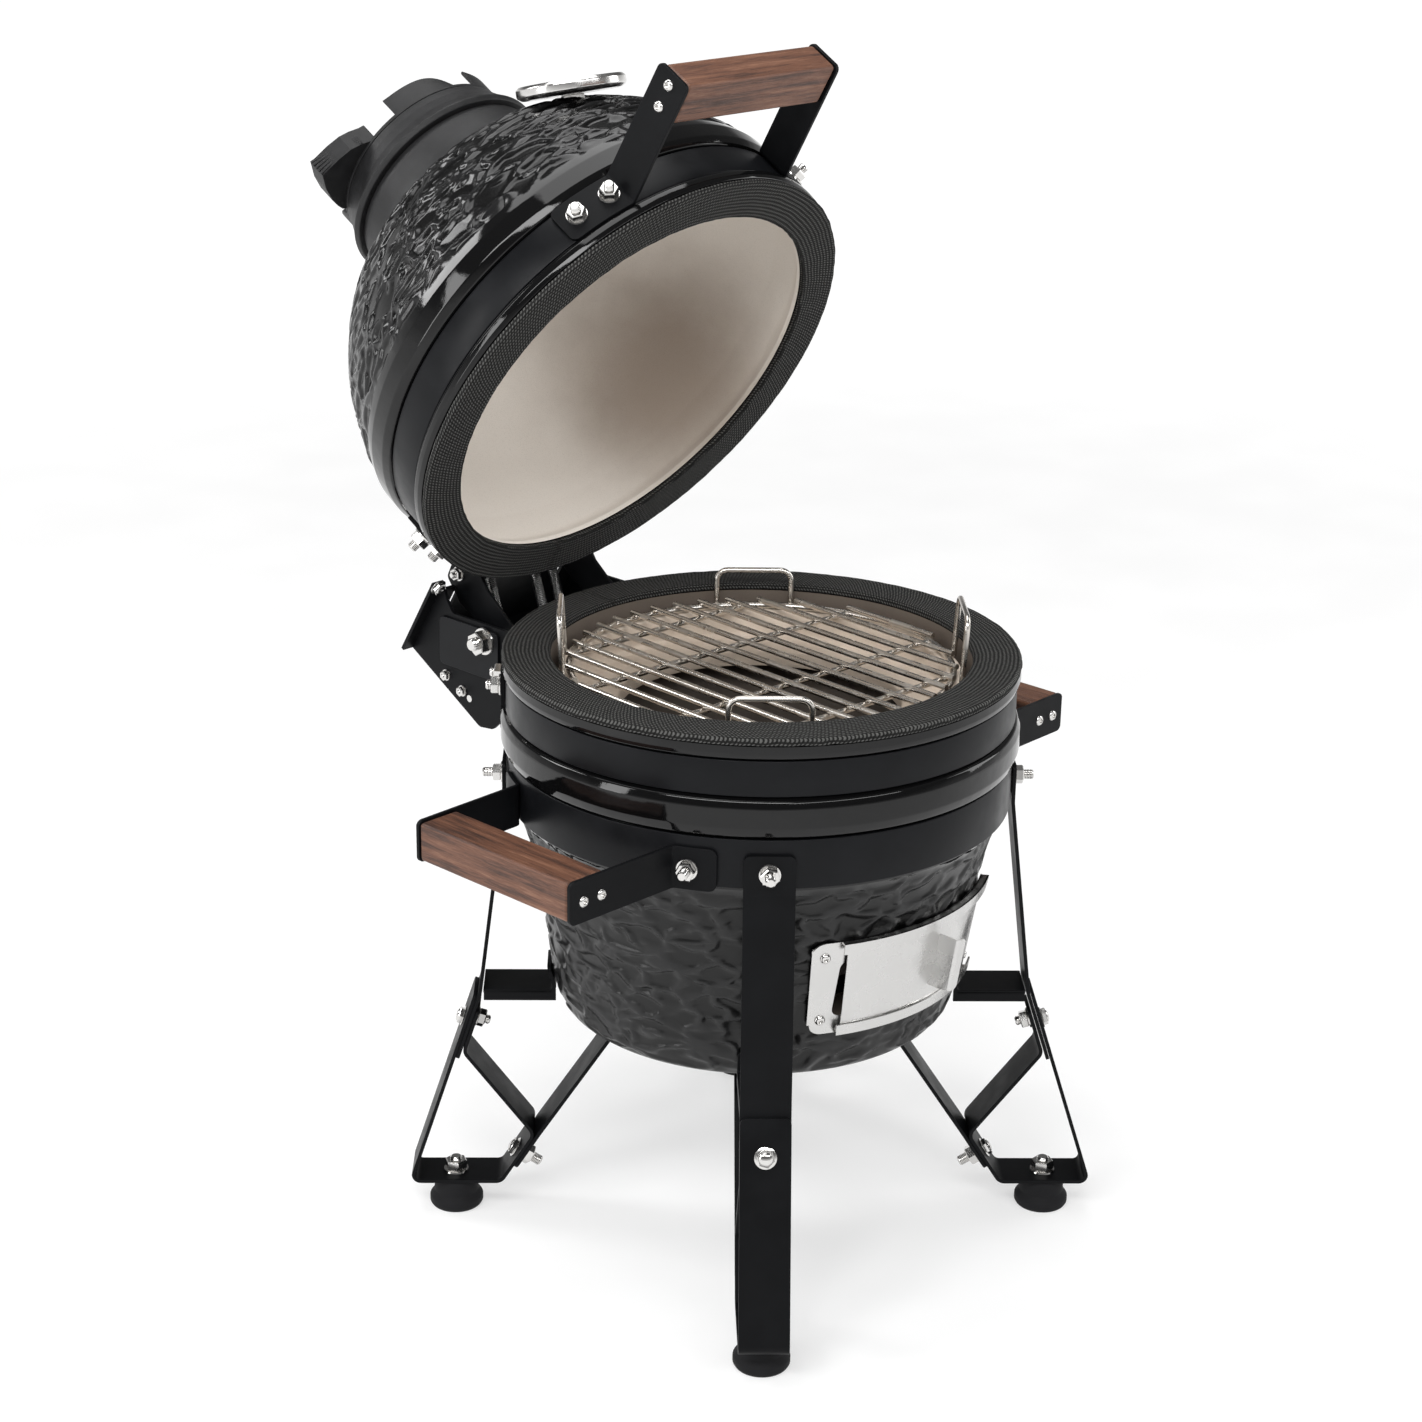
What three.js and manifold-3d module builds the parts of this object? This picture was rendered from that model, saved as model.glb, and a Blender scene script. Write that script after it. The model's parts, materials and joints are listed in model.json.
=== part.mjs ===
// A compact ceramic kamado grill on a four-legged strap-steel stand, with its lid open.
// Millimetres, +Z up. The vent door faces -Y and the hinge is at +Y.
import * as THREE from "three";
import { mergeVertices } from "three/addons/utils/BufferGeometryUtils.js";
import Module from "manifold-3d";

const wasm = await Module();
wasm.setup();

// ---- driving dimensions ----
const gap = 0.3;                 // clearance between neighbouring pieces
const ringSegments = 48;         // facets round every turned piece
const sheet = 3;                 // thickness of the strap steel

const rimHeight = 496;           // top of the base gasket
const rimRadius = 205;
const gasketInner = 166;
const gasketThickness = 6;
const bandInner = 199.3;
const bandOuter = 202;
const standBandOuter = 200.8;
const hingeBand = [449.5, 477.5]; // lower and upper edge of the base's hinge band
const standBand = [376, 415];     // lower and upper edge of the band that the stand bolts to

const lidOpenAngle = 59.4;       // degrees from closed
const hingeY = 230.4;
const hingeZ = 464.4;
const lidRim = rimHeight + 0.4;  // underside of the lid's gasket when closed
const lidBand = [lidRim + 19, lidRim + 49];
const domeCentre = 523.5;
const domeRadius = 209.5;
const domeWall = 22;
const chimneyRadius = 66;

const gridRadius = 155;
const gridTop = 488;
const gridRod = 4.6;
const gridPitch = 21;
const gridTurn = -3.5;           // degrees

const legAngles = [-45, 45, -135, 135]; // degrees from the front, +X positive
const legNames = ["front_left", "front_right", "rear_left", "rear_right"];
const strapWidth = 39;
const footRadius = 247.3;        // distance of each foot from the grill's axis
const footPlateZ = 27.3;
const crossStrapTop = 194.5;

const handleHalfLength = 80;
const sideGripX = [252, 289];
const sideGripZ = [375, 406];
const lidGripY = [256.5, 290.5];
const lidGripZ = [lidRim + 19, lidRim + 47.5];

const rearOverhang = 115.74;     // the grill's axis stands this far in front of the part's middle

// ---- helpers ----
const degrees = Math.PI / 180;

// Shared vertices, no collapsed triangles, and faces pointing out.
function closed(geometry) {
  const shell = new THREE.BufferGeometry();
  shell.setAttribute("position", geometry.getAttribute("position").clone());
  if (geometry.index) shell.setIndex(geometry.index.clone());
  const merged = mergeVertices(shell, 1e-3);
  const point = merged.getAttribute("position");
  const corners = merged.index.array;
  const kept = [];
  let volume = 0;
  const a = new THREE.Vector3();
  const b = new THREE.Vector3();
  const c = new THREE.Vector3();
  for (let i = 0; i < corners.length; i += 3) {
    const [p, q, r] = [corners[i], corners[i + 1], corners[i + 2]];
    if (p === q || q === r || r === p) continue;
    kept.push(p, q, r);
    a.fromBufferAttribute(point, p);
    b.fromBufferAttribute(point, q);
    c.fromBufferAttribute(point, r);
    volume += a.dot(b.cross(c));
  }
  if (volume < 0) {
    for (let i = 0; i < kept.length; i += 3) [kept[i], kept[i + 1]] = [kept[i + 1], kept[i]];
  }
  merged.setIndex(kept);
  return merged;
}

function toSolid(geometry) {
  const shell = closed(geometry);
  return new wasm.Manifold(new wasm.Mesh({
    numProp: 3,
    vertProperties: new Float32Array(shell.getAttribute("position").array),
    triVerts: new Uint32Array(shell.index.array),
  }));
}

function fromSolid(solid) {
  const mesh = solid.getMesh();
  const geometry = new THREE.BufferGeometry();
  const count = mesh.vertProperties.length / mesh.numProp;
  const points = new Float32Array(count * 3);
  for (let i = 0; i < count; i += 1) {
    for (let k = 0; k < 3; k += 1) points[3 * i + k] = mesh.vertProperties[mesh.numProp * i + k];
  }
  geometry.setAttribute("position", new THREE.BufferAttribute(points, 3));
  geometry.setIndex([...mesh.triVerts]);
  return geometry;
}

const union = (...parts) => fromSolid(parts.map(toSolid).reduce((sum, next) => sum.add(next)));
const cut = (body, ...tools) =>
  fromSolid(tools.map(toSolid).reduce((rest, tool) => rest.subtract(tool), toSolid(body)));
const common = (body, tool) => fromSolid(toSolid(body).intersect(toSolid(tool)));

// A profile of [radius, height] points turned about the Z axis.
function turned(profile, segments = ringSegments) {
  const points = profile.map(([radius, height]) => new THREE.Vector2(radius, height));
  const onAxis = profile[0][0] === 0 && profile.at(-1)[0] === 0;
  if (!onAxis) points.push(points[0].clone());
  return closed(new THREE.LatheGeometry(points, segments).rotateX(Math.PI / 2));
}

const ring = (inner, outer, low, high) =>
  turned([[inner, low], [outer, low], [outer, high], [inner, high]]);

function box(x, y, z) {
  const geometry = new THREE.BoxGeometry(x[1] - x[0], y[1] - y[0], z[1] - z[0]);
  return geometry.translate((x[0] + x[1]) / 2, (y[0] + y[1]) / 2, (z[0] + z[1]) / 2);
}

// A cylinder from one point to another.
function rod(from, to, radius, sides = 12) {
  const start = new THREE.Vector3(...from);
  const span = new THREE.Vector3(...to).sub(start);
  const geometry = new THREE.CylinderGeometry(radius, radius, span.length(), sides);
  geometry.translate(0, span.length() / 2, 0);
  const turn = new THREE.Quaternion().setFromUnitVectors(new THREE.Vector3(0, 1, 0), span.normalize());
  return geometry.applyQuaternion(turn).translate(...from);
}

function outline(points) {
  return new THREE.Shape(points.map(([x, y]) => new THREE.Vector2(x, y)));
}

const plate = (shape, depth) =>
  new THREE.ExtrudeGeometry(shape, { depth, bevelEnabled: false, curveSegments: 8 });

// The outline of a bent strip whose middle follows the given points, with mitred bends.
function bentStrip(points, thickness) {
  const path = points.map(([x, y]) => new THREE.Vector2(x, y));
  const side = (sign) => path.map((point, i) => {
    const before = path[Math.max(i - 1, 0)];
    const after = path[Math.min(i + 1, path.length - 1)];
    const incoming = (i > 0 ? point.clone().sub(before) : after.clone().sub(point)).normalize();
    const outgoing = (i < path.length - 1 ? after.clone().sub(point) : incoming.clone()).normalize();
    const mitre = incoming.clone().add(outgoing).normalize();
    const reach = (sign * thickness) / 2 / mitre.dot(incoming);
    return new THREE.Vector2(point.x - mitre.y * reach, point.y + mitre.x * reach);
  });
  return new THREE.Shape([...side(1), ...side(-1).reverse()]);
}

// A strip drawn as [distance from the axis, height], given its width across that plane
// and turned to an angle from the front (-Y).
function radialStrip(points, thickness, width, angle) {
  const geometry = plate(bentStrip(points, thickness), width).translate(0, 0, -width / 2);
  geometry.rotateX(Math.PI / 2);
  return geometry.rotateZ((angle - 90) * degrees);
}

// A tall wedge between two angles from the front, reaching past every other piece.
function wedge(from, to, low, high, reach = 420) {
  const shape = new THREE.Shape();
  shape.moveTo(0, 0);
  const steps = Math.max(2, Math.ceil((to - from) / 10));
  for (let i = 0; i <= steps; i += 1) {
    const angle = (from + ((to - from) * i) / steps) * degrees;
    shape.lineTo(reach * Math.sin(angle), -reach * Math.cos(angle));
  }
  return plate(shape, high - low).translate(0, 0, low);
}

const onCircle = (radius, angle) =>
  [radius * Math.sin(angle * degrees), -radius * Math.cos(angle * degrees)];

// ---- materials ----
const finish = (color, roughness, metalness) =>
  new THREE.MeshStandardMaterial({ color, roughness, metalness });
const glaze = finish(0x1b1c1e, 0.25, 0.0);
const refractory = finish(0xc9bdae, 0.9, 0.0);
const felt = finish(0x2c2d2d, 0.95, 0.0);
const powderCoat = finish(0x17181a, 0.45, 0.3);
const castIron = finish(0x2a2b2d, 0.6, 0.5);
const walnut = finish(0x7a5442, 0.6, 0.0);
const stainless = finish(0xd8d6d2, 0.25, 1.0);
const rubber = finish(0x111214, 0.85, 0.0);
const dialBlack = finish(0x101010, 0.5, 0.0);
const clearGlass = finish(0xe8f0f0, 0.05, 0.0);

const grill = new THREE.Group();
const lid = new THREE.Group();

function add(group, name, geometry, material) {
  const mesh = new THREE.Mesh(closed(geometry), material.clone());
  mesh.name = name;
  group.add(mesh);
  return mesh;
}

// ---- ceramic base ----
// Outside of the bowl below the stand band: radius at a height.
const bowlSide = [[150, 198], [158, 204], [164, 226], [171, 275], [183, 340], [192, 368]];

// Conical surface that the vent door's track stands on.
const trackLow = 239;
const trackHigh = 321;
const trackRadius = (height) => 168 + (height - trackLow) * 0.165;

const windowAngles = [-28.2, 20.2];
const windowHeights = [252, 306];

const bowl = turned([
  [0, 195],
  [136, 195],
  ...bowlSide,
  [197.5, 372],
  [197.5, 416.5],
  [204, 419],
  [206, 426],
  [206, 441],
  [204, 447],
  [199, 448.5],
  [199, 478.5],
  [204.5, 480],
  [204.5, rimHeight - gasketThickness - gap],
  [gasketInner, rimHeight - gasketThickness - gap],
  [169, 465],
  [165, 380],
  [150, 290],
  [120, 222],
  [0, 219],
]);
const ventWindow = wedge(windowAngles[0], windowAngles[1], windowHeights[0], windowHeights[1]);
add(grill, "base_bowl", cut(bowl, ventWindow), glaze);

add(grill, "base_gasket", turned([
  [gasketInner, rimHeight - gasketThickness],
  [rimRadius + 0.5, rimHeight - gasketThickness],
  [rimRadius - 0.5, rimHeight],
  [gasketInner + 1, rimHeight],
]), felt);
add(grill, "base_hinge_band", ring(bandInner, bandOuter, ...hingeBand), powderCoat);
add(grill, "base_stand_band", ring(bandInner - 1.5, standBandOuter, ...standBand), powderCoat);

// ---- inside the base ----
const fireboxFloor = 232;
add(grill, "fire_ring", turned([
  [112, 441],
  [160, 441],
  [160, gridTop - 2 * gridRod - gap],
  [147, gridTop - 2 * gridRod - gap],
  [147, 455],
  [112, 455],
]), refractory);

const fireboxShell = turned([
  [0, fireboxFloor],
  [108, fireboxFloor],
  [145, 300],
  [157, 380],
  [157, 440],
  [138, 440],
  [134, 370],
  [108, 256],
  [0, 256],
]);
const ashHoles = [rod([0, 0, 200], [0, 0, 280], 16, 10)];
for (let i = 0; i < 4; i += 1) {
  const [x, y] = onCircle(62, i * 90 + 45);
  ashHoles.push(rod([x, y, 200], [x, y, 280], 12, 8));
}
const airGate = wedge(-20, 20, 262, 300);
add(grill, "firebox", cut(fireboxShell, ...ashHoles, airGate), refractory);

const grateBars = [turned([[101, 268], [107, 268], [107, 276], [101, 276]], 24)];
for (let i = -3; i <= 3; i += 1) {
  const half = Math.sqrt(104 ** 2 - (i * 27) ** 2);
  grateBars.push(box([i * 27 - 4, i * 27 + 4], [-half, half], [268, 276]));
}
add(grill, "charcoal_grate", union(...grateBars), castIron);

// ---- cooking grid ----
const rodRadius = gridRod / 2;
const upperRodZ = gridTop - rodRadius;
const lowerRodZ = gridTop - gridRod - rodRadius + 0.4;
const gridRing = turned(
  [[154, lowerRodZ - rodRadius], [150, lowerRodZ - rodRadius], [150, lowerRodZ + rodRadius],
    [154, lowerRodZ + rodRadius]]);
const gridWires = [gridRing];
for (let i = -7; i <= 7; i += 1) {
  const x = i * gridPitch;
  const half = Math.sqrt(gridRadius ** 2 - x ** 2) - 1;
  gridWires.push(rod([x, -half, upperRodZ], [x, half, upperRodZ], rodRadius, 6));
}
for (const y of [-117, -47, 47, 117]) {
  const half = Math.sqrt(152 ** 2 - y ** 2);
  gridWires.push(rod([-half, y, lowerRodZ], [half, y, lowerRodZ], rodRadius, 6));
}
const grid = new THREE.Group();
grid.rotation.z = gridTurn * degrees;
add(grid, "cooking_grid", union(...gridWires), stainless);
grill.add(grid);

// Four upright wire handles just outside the grid's ring.
const loopHalf = 31;
const loopHeight = 28;
const loopFoot = -9;
const loopBend = 9;
const loopWire = 2.2;
const loopSides = [];
for (let i = 0; i < 6; i += 1) {
  loopSides.push([loopWire * Math.cos(i * 60 * degrees), loopWire * Math.sin(i * 60 * degrees)]);
}
legAngles.forEach((angle, i) => {
  const path = new THREE.CurvePath();
  const corner = (across, height) => new THREE.Vector3(across, 0, height);
  const outerLeft = corner(-loopHalf, loopHeight);
  const outerRight = corner(loopHalf, loopHeight);
  const beforeLeft = corner(-loopHalf, loopHeight - loopBend);
  const afterLeft = corner(-loopHalf + loopBend, loopHeight);
  const beforeRight = corner(loopHalf - loopBend, loopHeight);
  const afterRight = corner(loopHalf, loopHeight - loopBend);
  path.add(new THREE.LineCurve3(corner(-loopHalf, loopFoot), beforeLeft));
  path.add(new THREE.QuadraticBezierCurve3(beforeLeft, outerLeft, afterLeft));
  path.add(new THREE.LineCurve3(afterLeft, beforeRight));
  path.add(new THREE.QuadraticBezierCurve3(beforeRight, outerRight, afterRight));
  path.add(new THREE.LineCurve3(afterRight, corner(loopHalf, loopFoot)));
  const handle = new THREE.ExtrudeGeometry(outline(loopSides), { steps: 16, extrudePath: path });
  const lean = new THREE.Matrix4().makeRotationX(10 * degrees);
  handle.applyMatrix4(lean).translate(0, -157.6, gridTop).rotateZ(angle * degrees);
  add(grill, `grid_handle_${legNames[i]}`, handle, stainless);
});

// ---- vent door at the front ----
const trackWall = 1.6;
const conical = (inner, outer, low, high) => turned([
  [trackRadius(low) + inner, low],
  [trackRadius(low) + outer, low],
  [trackRadius(high) + outer, high],
  [trackRadius(high) + inner, high],
], 72);
const trackBack = conical(gap, trackWall, trackLow, trackHigh);
const rails = [[trackLow, trackLow + 9], [trackHigh - 9, trackHigh]].map(([low, high], i) => {
  const web = i === 0 ? [low, low + trackWall] : [high - trackWall, high];
  return union(conical(gap, 7.4, ...web), conical(7.4 - trackWall, 7.4, low, high));
});
const railSpan = wedge(-26.6, 31, trackLow - 5, trackHigh + 5);
const trackSpan = wedge(-34, 34, trackLow - 5, trackHigh + 5);
const window = wedge(windowAngles[0], windowAngles[1], windowHeights[0] + 2, windowHeights[1] - 2);
const track = union(
  cut(common(trackBack, trackSpan), window),
  ...rails.map((rail) => common(rail, railSpan)),
);
add(grill, "vent_track", track, stainless);

const doorAngles = [-25.4, 22.8];
const doorLow = trackLow + trackWall + 0.6;
const doorHigh = trackHigh - trackWall - 0.6;
const doorPanel = common(
  conical(trackWall + 2.6, trackWall + 4, doorLow, doorHigh),
  wedge(doorAngles[0], doorAngles[1], trackLow - 5, trackHigh + 5),
);
const tabAngle = 3;
const tabZone = [259, 305];
const tabReach = 25;
const tabSlice = (x) => box(x, [-230, -150], tabZone).rotateZ(tabAngle * degrees);
const doorTab = common(conical(trackWall + 3, tabReach, ...tabZone), tabSlice([-1, 1]));
const doorTabLip = common(conical(tabReach - 2, tabReach, ...tabZone), tabSlice([-1, 9]));
add(grill, "vent_door", union(doorPanel, doorTab, doorTabLip), stainless);

// ---- stand ----
// Outer face of the leg's upper strap, as distance from the axis against height.
const upperLegSlope = 0.125;
const lowerLegSlope = 0.324;
const strapTop = 404;
const strapKnee = 372;
const strapBend = 203;
const strapEnd = 142;
const strapFace = 204.6;
const bendFace = strapFace + upperLegSlope * (strapKnee - strapBend);
const lowerFace = (height) => bendFace + lowerLegSlope * (strapBend - height);
const middle = sheet / 2;
const slant = sheet * Math.hypot(1, lowerLegSlope);
const loopTop = 201;
const braceCorner = [181, 73];

legAngles.forEach((angle, i) => {
  const name = legNames[i];
  add(grill, `leg_strap_${name}`, radialStrip([
    [strapFace - middle, strapTop],
    [strapFace - middle, strapKnee],
    [bendFace - middle, strapBend],
    [lowerFace(strapEnd) - middle, strapEnd],
  ], sheet, strapWidth, angle), powderCoat);

  const outerLine = (height) => lowerFace(height) + gap + slant / 2;
  const innerLine = (height) => lowerFace(height) - slant - gap - slant / 2;
  add(grill, `foot_frame_${name}`, radialStrip([
    [outerLine(loopTop), loopTop],
    [outerLine(footPlateZ + middle), footPlateZ + middle],
    [209, footPlateZ + middle],
    braceCorner,
    [innerLine(149), 149],
    [innerLine(174), 174],
  ], sheet, strapWidth, angle), powderCoat);

  const barTop = 206.5;
  const legInside = strapFace + upperLegSlope * (strapKnee - barTop) - sheet - gap;
  const barStrip = radialStrip([
    [legInside - 0.3, barTop - middle],
    [162.5, barTop - middle],
    [168.3, 226],
  ], sheet, strapWidth, angle);
  const flanges = [-1, 1].map((side) => {
    const across = side * (strapWidth / 2 - middle);
    const flange = box([across - middle, across + middle], [-(legInside - 1), -161.5], [196.5, barTop - 1]);
    return flange.rotateZ(angle * degrees);
  });
  add(grill, `support_bar_${name}`, union(barStrip, ...flanges), powderCoat);

  const foot = turned([
    [0, 0],
    [20.5, 0],
    [22.3, 3],
    [22.3, 7],
    [18.5, 13],
    [18, footPlateZ - gap],
    [0, footPlateZ - gap],
  ], 20);
  const [footX, footY] = onCircle(footRadius, angle);
  add(grill, `rubber_foot_${name}`, foot.translate(footX, footY, 0), rubber);
});

// Two long straps cross under the bowl and run down to opposite foot frames.
["a", "b"].forEach((name, i) => {
  const top = crossStrapTop - middle - i * (sheet + gap);
  const stripSlope = (209 - braceCorner[0]) / (braceCorner[1] - footPlateZ - middle);
  const offset = (sheet + gap) * Math.hypot(1, stripSlope);
  const lowerRadius = (height) => braceCorner[0] + stripSlope * (braceCorner[1] - height) - offset;
  const half = [
    [98 + i * 1.6, top],
    [lowerRadius(braceCorner[1]), braceCorner[1]],
    [lowerRadius(41), 41],
  ];
  const route = [...half.map(([radius, height]) => [-radius, height]).reverse(), ...half];
  add(grill, `cross_strap_${name}`, radialStrip(route, sheet, strapWidth, legAngles[i]), powderCoat);
});

// ---- side handles ----
const armZ = [373, 407];
[-1, 1].forEach((side) => {
  const sideName = side < 0 ? "left" : "right";
  add(grill, `side_grip_${sideName}`, box(
    sideGripX.map((x) => side * x).sort((a, b) => a - b),
    [-handleHalfLength, handleHalfLength],
    sideGripZ,
  ), walnut);
  [-1, 1].forEach((end) => {
    const armY = end * (handleHalfLength + gap + middle);
    const flangeRadius = standBandOuter + gap + 0.2 + middle;
    const start = Math.asin(Math.abs(armY) / flangeRadius) / degrees;
    const route = [[sideGripX[1] + 0.5, armY]];
    for (let k = 0; k <= 4; k += 1) {
      const angle = (start + 0.6 + k * 2.4) * degrees;
      route.push([flangeRadius * Math.cos(angle), end * flangeRadius * Math.sin(angle)]);
    }
    const arm = plate(bentStrip(route.map(([x, y]) => [side * x, y]), sheet), armZ[1] - armZ[0]);
    const endName = end < 0 ? "front" : "rear";
    add(grill, `side_arm_${sideName}_${endName}`, arm.translate(0, 0, armZ[0]), powderCoat);
  });
});

// ---- hinge, part fixed to the base ----
const cheekX = [80, 84];
const pivotRadius = 5;
const hingePlateOuter = bandOuter + gap + 0.2 + sheet;
const cheekShape = outline([
  [191, 449],
  [191, 436],
  [213, 398],
  [224, 388],
  [240, 386],
  [326, 437],
  [285, 504],
  [279, 488],
  [272, 478],
  [187.5, 478],
  [187.5, 449],
]);

// Turns an outline of [y, z] points into a plate between two x positions.
function cheek(shape, from, to) {
  const geometry = plate(shape, to - from);
  return geometry.applyMatrix4(new THREE.Matrix4().set(0, 0, 1, from, 1, 0, 0, 0, 0, 1, 0, 0, 0, 0, 0, 1));
}

const pivotHole = rod([-120, hingeY, hingeZ], [120, hingeY, hingeZ], pivotRadius + 0.1, 24);
const springAnchor = [252, 408];
const anchorRadius = 3;
const anchorHole = rod([-120, ...springAnchor], [120, ...springAnchor], anchorRadius + 0.1, 12);
const curvedPlate = (low, high, halfAngle) => common(
  ring(bandOuter + gap + 0.2, hingePlateOuter, low, high),
  wedge(180 - halfAngle, 180 + halfAngle, low - 5, high + 5),
);
const rearFlange = (side) => {
  const shape = outline([[285, 504], [326, 437], [323.4, 435.5], [282.4, 502.5]]);
  return side < 0 ? cheek(shape, -94, -cheekX[0]) : cheek(shape, cheekX[0], 94);
};
const baseBracket = cut(
  union(
    curvedPlate(hingeBand[0] - 1, hingeBand[1] + 0.5, 33),
    cheek(cheekShape, -cheekX[1], -cheekX[0]),
    cheek(cheekShape, cheekX[0], cheekX[1]),
    rearFlange(-1),
    rearFlange(1),
  ),
  pivotHole,
  anchorHole,
);
add(grill, "hinge_base_bracket", baseBracket, powderCoat);
const pivotHalf = 92;
add(grill, "hinge_pivot_rod", rod(
  [-pivotHalf, hingeY, hingeZ], [pivotHalf, hingeY, hingeZ], pivotRadius, 24), stainless);
add(grill, "spring_rod_lower", rod([-88, ...springAnchor], [88, ...springAnchor], anchorRadius, 12), stainless);

// ---- ceramic lid, drawn closed ----
const domePoint = (radius, shrink = 0) =>
  [radius, domeCentre + Math.sqrt((domeRadius - shrink) ** 2 - radius ** 2)];
const outerDome = [197, 184, 166, 145, 120, 94, chimneyRadius].map((r) => domePoint(r));
const innerDome = [chimneyRadius, 100, 132, 156, 174].map((r) => domePoint(r, domeWall));
const dome = turned([
  [170, lidRim + gasketThickness + gap],
  [204.5, lidRim + gasketThickness + gap],
  [204.5, lidRim + 16.5],
  [199, lidRim + 18.4],
  [199, lidRim + 49.6],
  [204, lidRim + 51],
  [206, lidRim + 57],
  [206, lidRim + 71],
  [203.5, lidRim + 80],
  ...outerDome,
  ...innerDome,
  [179, lidRim + 50],
  [177, lidRim + 16],
]);
const dialElevation = 44 * degrees;
const dialNormal = new THREE.Vector3(0, -Math.cos(dialElevation), Math.sin(dialElevation));
const dialSeat = new THREE.Vector3(
  0,
  -domeRadius * Math.cos(dialElevation),
  domeCentre + domeRadius * Math.sin(dialElevation),
);
const alongDial = (distance) => dialSeat.clone().addScaledVector(dialNormal, distance).toArray();
const stemRadius = 5;
const stemHole = rod(alongDial(-45), alongDial(20), stemRadius + 0.4, 16);
add(lid, "lid_dome", cut(dome, stemHole), glaze);
add(lid, "lid_gasket", turned([
  [171, lidRim],
  [rimRadius - 0.5, lidRim],
  [rimRadius + 0.5, lidRim + gasketThickness],
  [170, lidRim + gasketThickness],
]), felt);
add(lid, "lid_band", ring(bandInner, bandOuter, ...lidBand), powderCoat);

// ---- chimney and cap ----
const collarTop = 752;
add(lid, "chimney_collar", turned([
  [chimneyRadius + 2, domePoint(chimneyRadius + 2)[1] + 1],
  [84, domePoint(84)[1] + 1],
  [103, domePoint(103)[1] + 1.2],
  [94, 727],
  [88, collarTop - 4],
  [86, collarTop],
  [72, collarTop],
]), castIron);

const capBase = collarTop + gap;
add(lid, "cap_body", turned([
  [74, capBase],
  [91, capBase],
  [92.5, capBase + 5],
  [87, capBase + 14],
  [81, capBase + 32],
  [74, capBase + 32],
]), castIron);

const wheelLow = capBase + 32.3;
const wheelFloor = wheelLow + 6;
const wheelHigh = wheelLow + 21;
const wheelRadius = 80.5;
const petals = 6;
const petalPitch = 360 / petals;
const firstNotch = -54;          // middle of a notch between two petals
const notchWidth = 18;
const notches = [];
const ventHoles = [];
for (let i = 0; i < petals; i += 1) {
  const middleAngle = firstNotch + i * petalPitch;
  const half = notchWidth / 2;
  notches.push(wedge(middleAngle - half, middleAngle + half, wheelFloor, wheelHigh + 5, 120));
  const [x, y] = onCircle(44, middleAngle);
  ventHoles.push(rod([x, y, wheelLow - 5], [x, y, wheelLow + 20], 12, 12));
}
const wheelInner = 73.3;
const wheelHollow = rod([0, 0, wheelLow - 5], [0, 0, wheelHigh + 5], wheelInner, 36);
const lever = plate(
  outline([[72, -68], [82, -70], [89, -76], [112, -94], [84, -118], [72, -120]]
    .map(([radius, angle]) => onCircle(radius, angle))),
  wheelHigh - wheelLow - 2,
).translate(0, 0, wheelLow + 2);
const wheelDrum = rod([0, 0, wheelLow], [0, 0, wheelHigh], wheelRadius, ringSegments);
add(lid, "cap_wheel", cut(union(cut(wheelDrum, ...notches), lever), wheelHollow), castIron);
const damperDisc = rod([0, 0, wheelLow], [0, 0, wheelFloor], wheelInner - 0.8, 36);
add(lid, "cap_damper", cut(damperDisc, ...ventHoles), castIron);

// ---- thermometer ----
function onDial(geometry) {
  const turn = new THREE.Quaternion().setFromUnitVectors(new THREE.Vector3(0, 0, 1), dialNormal);
  return geometry.applyQuaternion(turn).translate(...alongDial(0));
}
const caseLow = 7;
add(lid, "thermometer_case", onDial(turned([
  [0, -42],
  [stemRadius, -42],
  [stemRadius, 1],
  [9, 1],
  [9, caseLow],
  [43, caseLow],
  [44, caseLow + 2],
  [44, caseLow + 9],
  [42, caseLow + 11],
  [39, caseLow + 11],
  [39, caseLow + 4],
  [0, caseLow + 4],
], 32)), stainless);
add(lid, "thermometer_needle", onDial(union(
  box([-1, 1], [-9, 31], [caseLow + 5.2, caseLow + 6]),
  rod([0, 0, caseLow + 4.6], [0, 0, caseLow + 7], 3.2, 12),
)), dialBlack);
add(lid, "thermometer_glass", onDial(rod(
  [0, 0, caseLow + 8.4], [0, 0, caseLow + 10.2], 38.4, 32)), clearGlass);

// ---- lid handle ----
add(lid, "lid_grip", box(
  [-handleHalfLength, handleHalfLength], [-lidGripY[1], -lidGripY[0]], lidGripZ), walnut);
const lidArmZ = [lidRim + 17.5, lidRim + 50.5];
[-1, 1].forEach((side) => {
  const armX = side * (handleHalfLength + gap + middle);
  const flangeRadius = bandOuter + gap + 0.2 + middle;
  const start = Math.asin(Math.abs(armX) / flangeRadius) / degrees;
  const route = [[armX, -(lidGripY[1] + 0.5)]];
  for (let k = 0; k <= 6; k += 1) {
    const [x, y] = onCircle(flangeRadius, start + 0.6 + k * 2.6);
    route.push([side * x, y]);
  }
  const arm = plate(bentStrip(route, sheet), lidArmZ[1] - lidArmZ[0]).translate(0, 0, lidArmZ[0]);
  add(lid, `lid_arm_${side < 0 ? "left" : "right"}`, arm, powderCoat);
});

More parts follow.
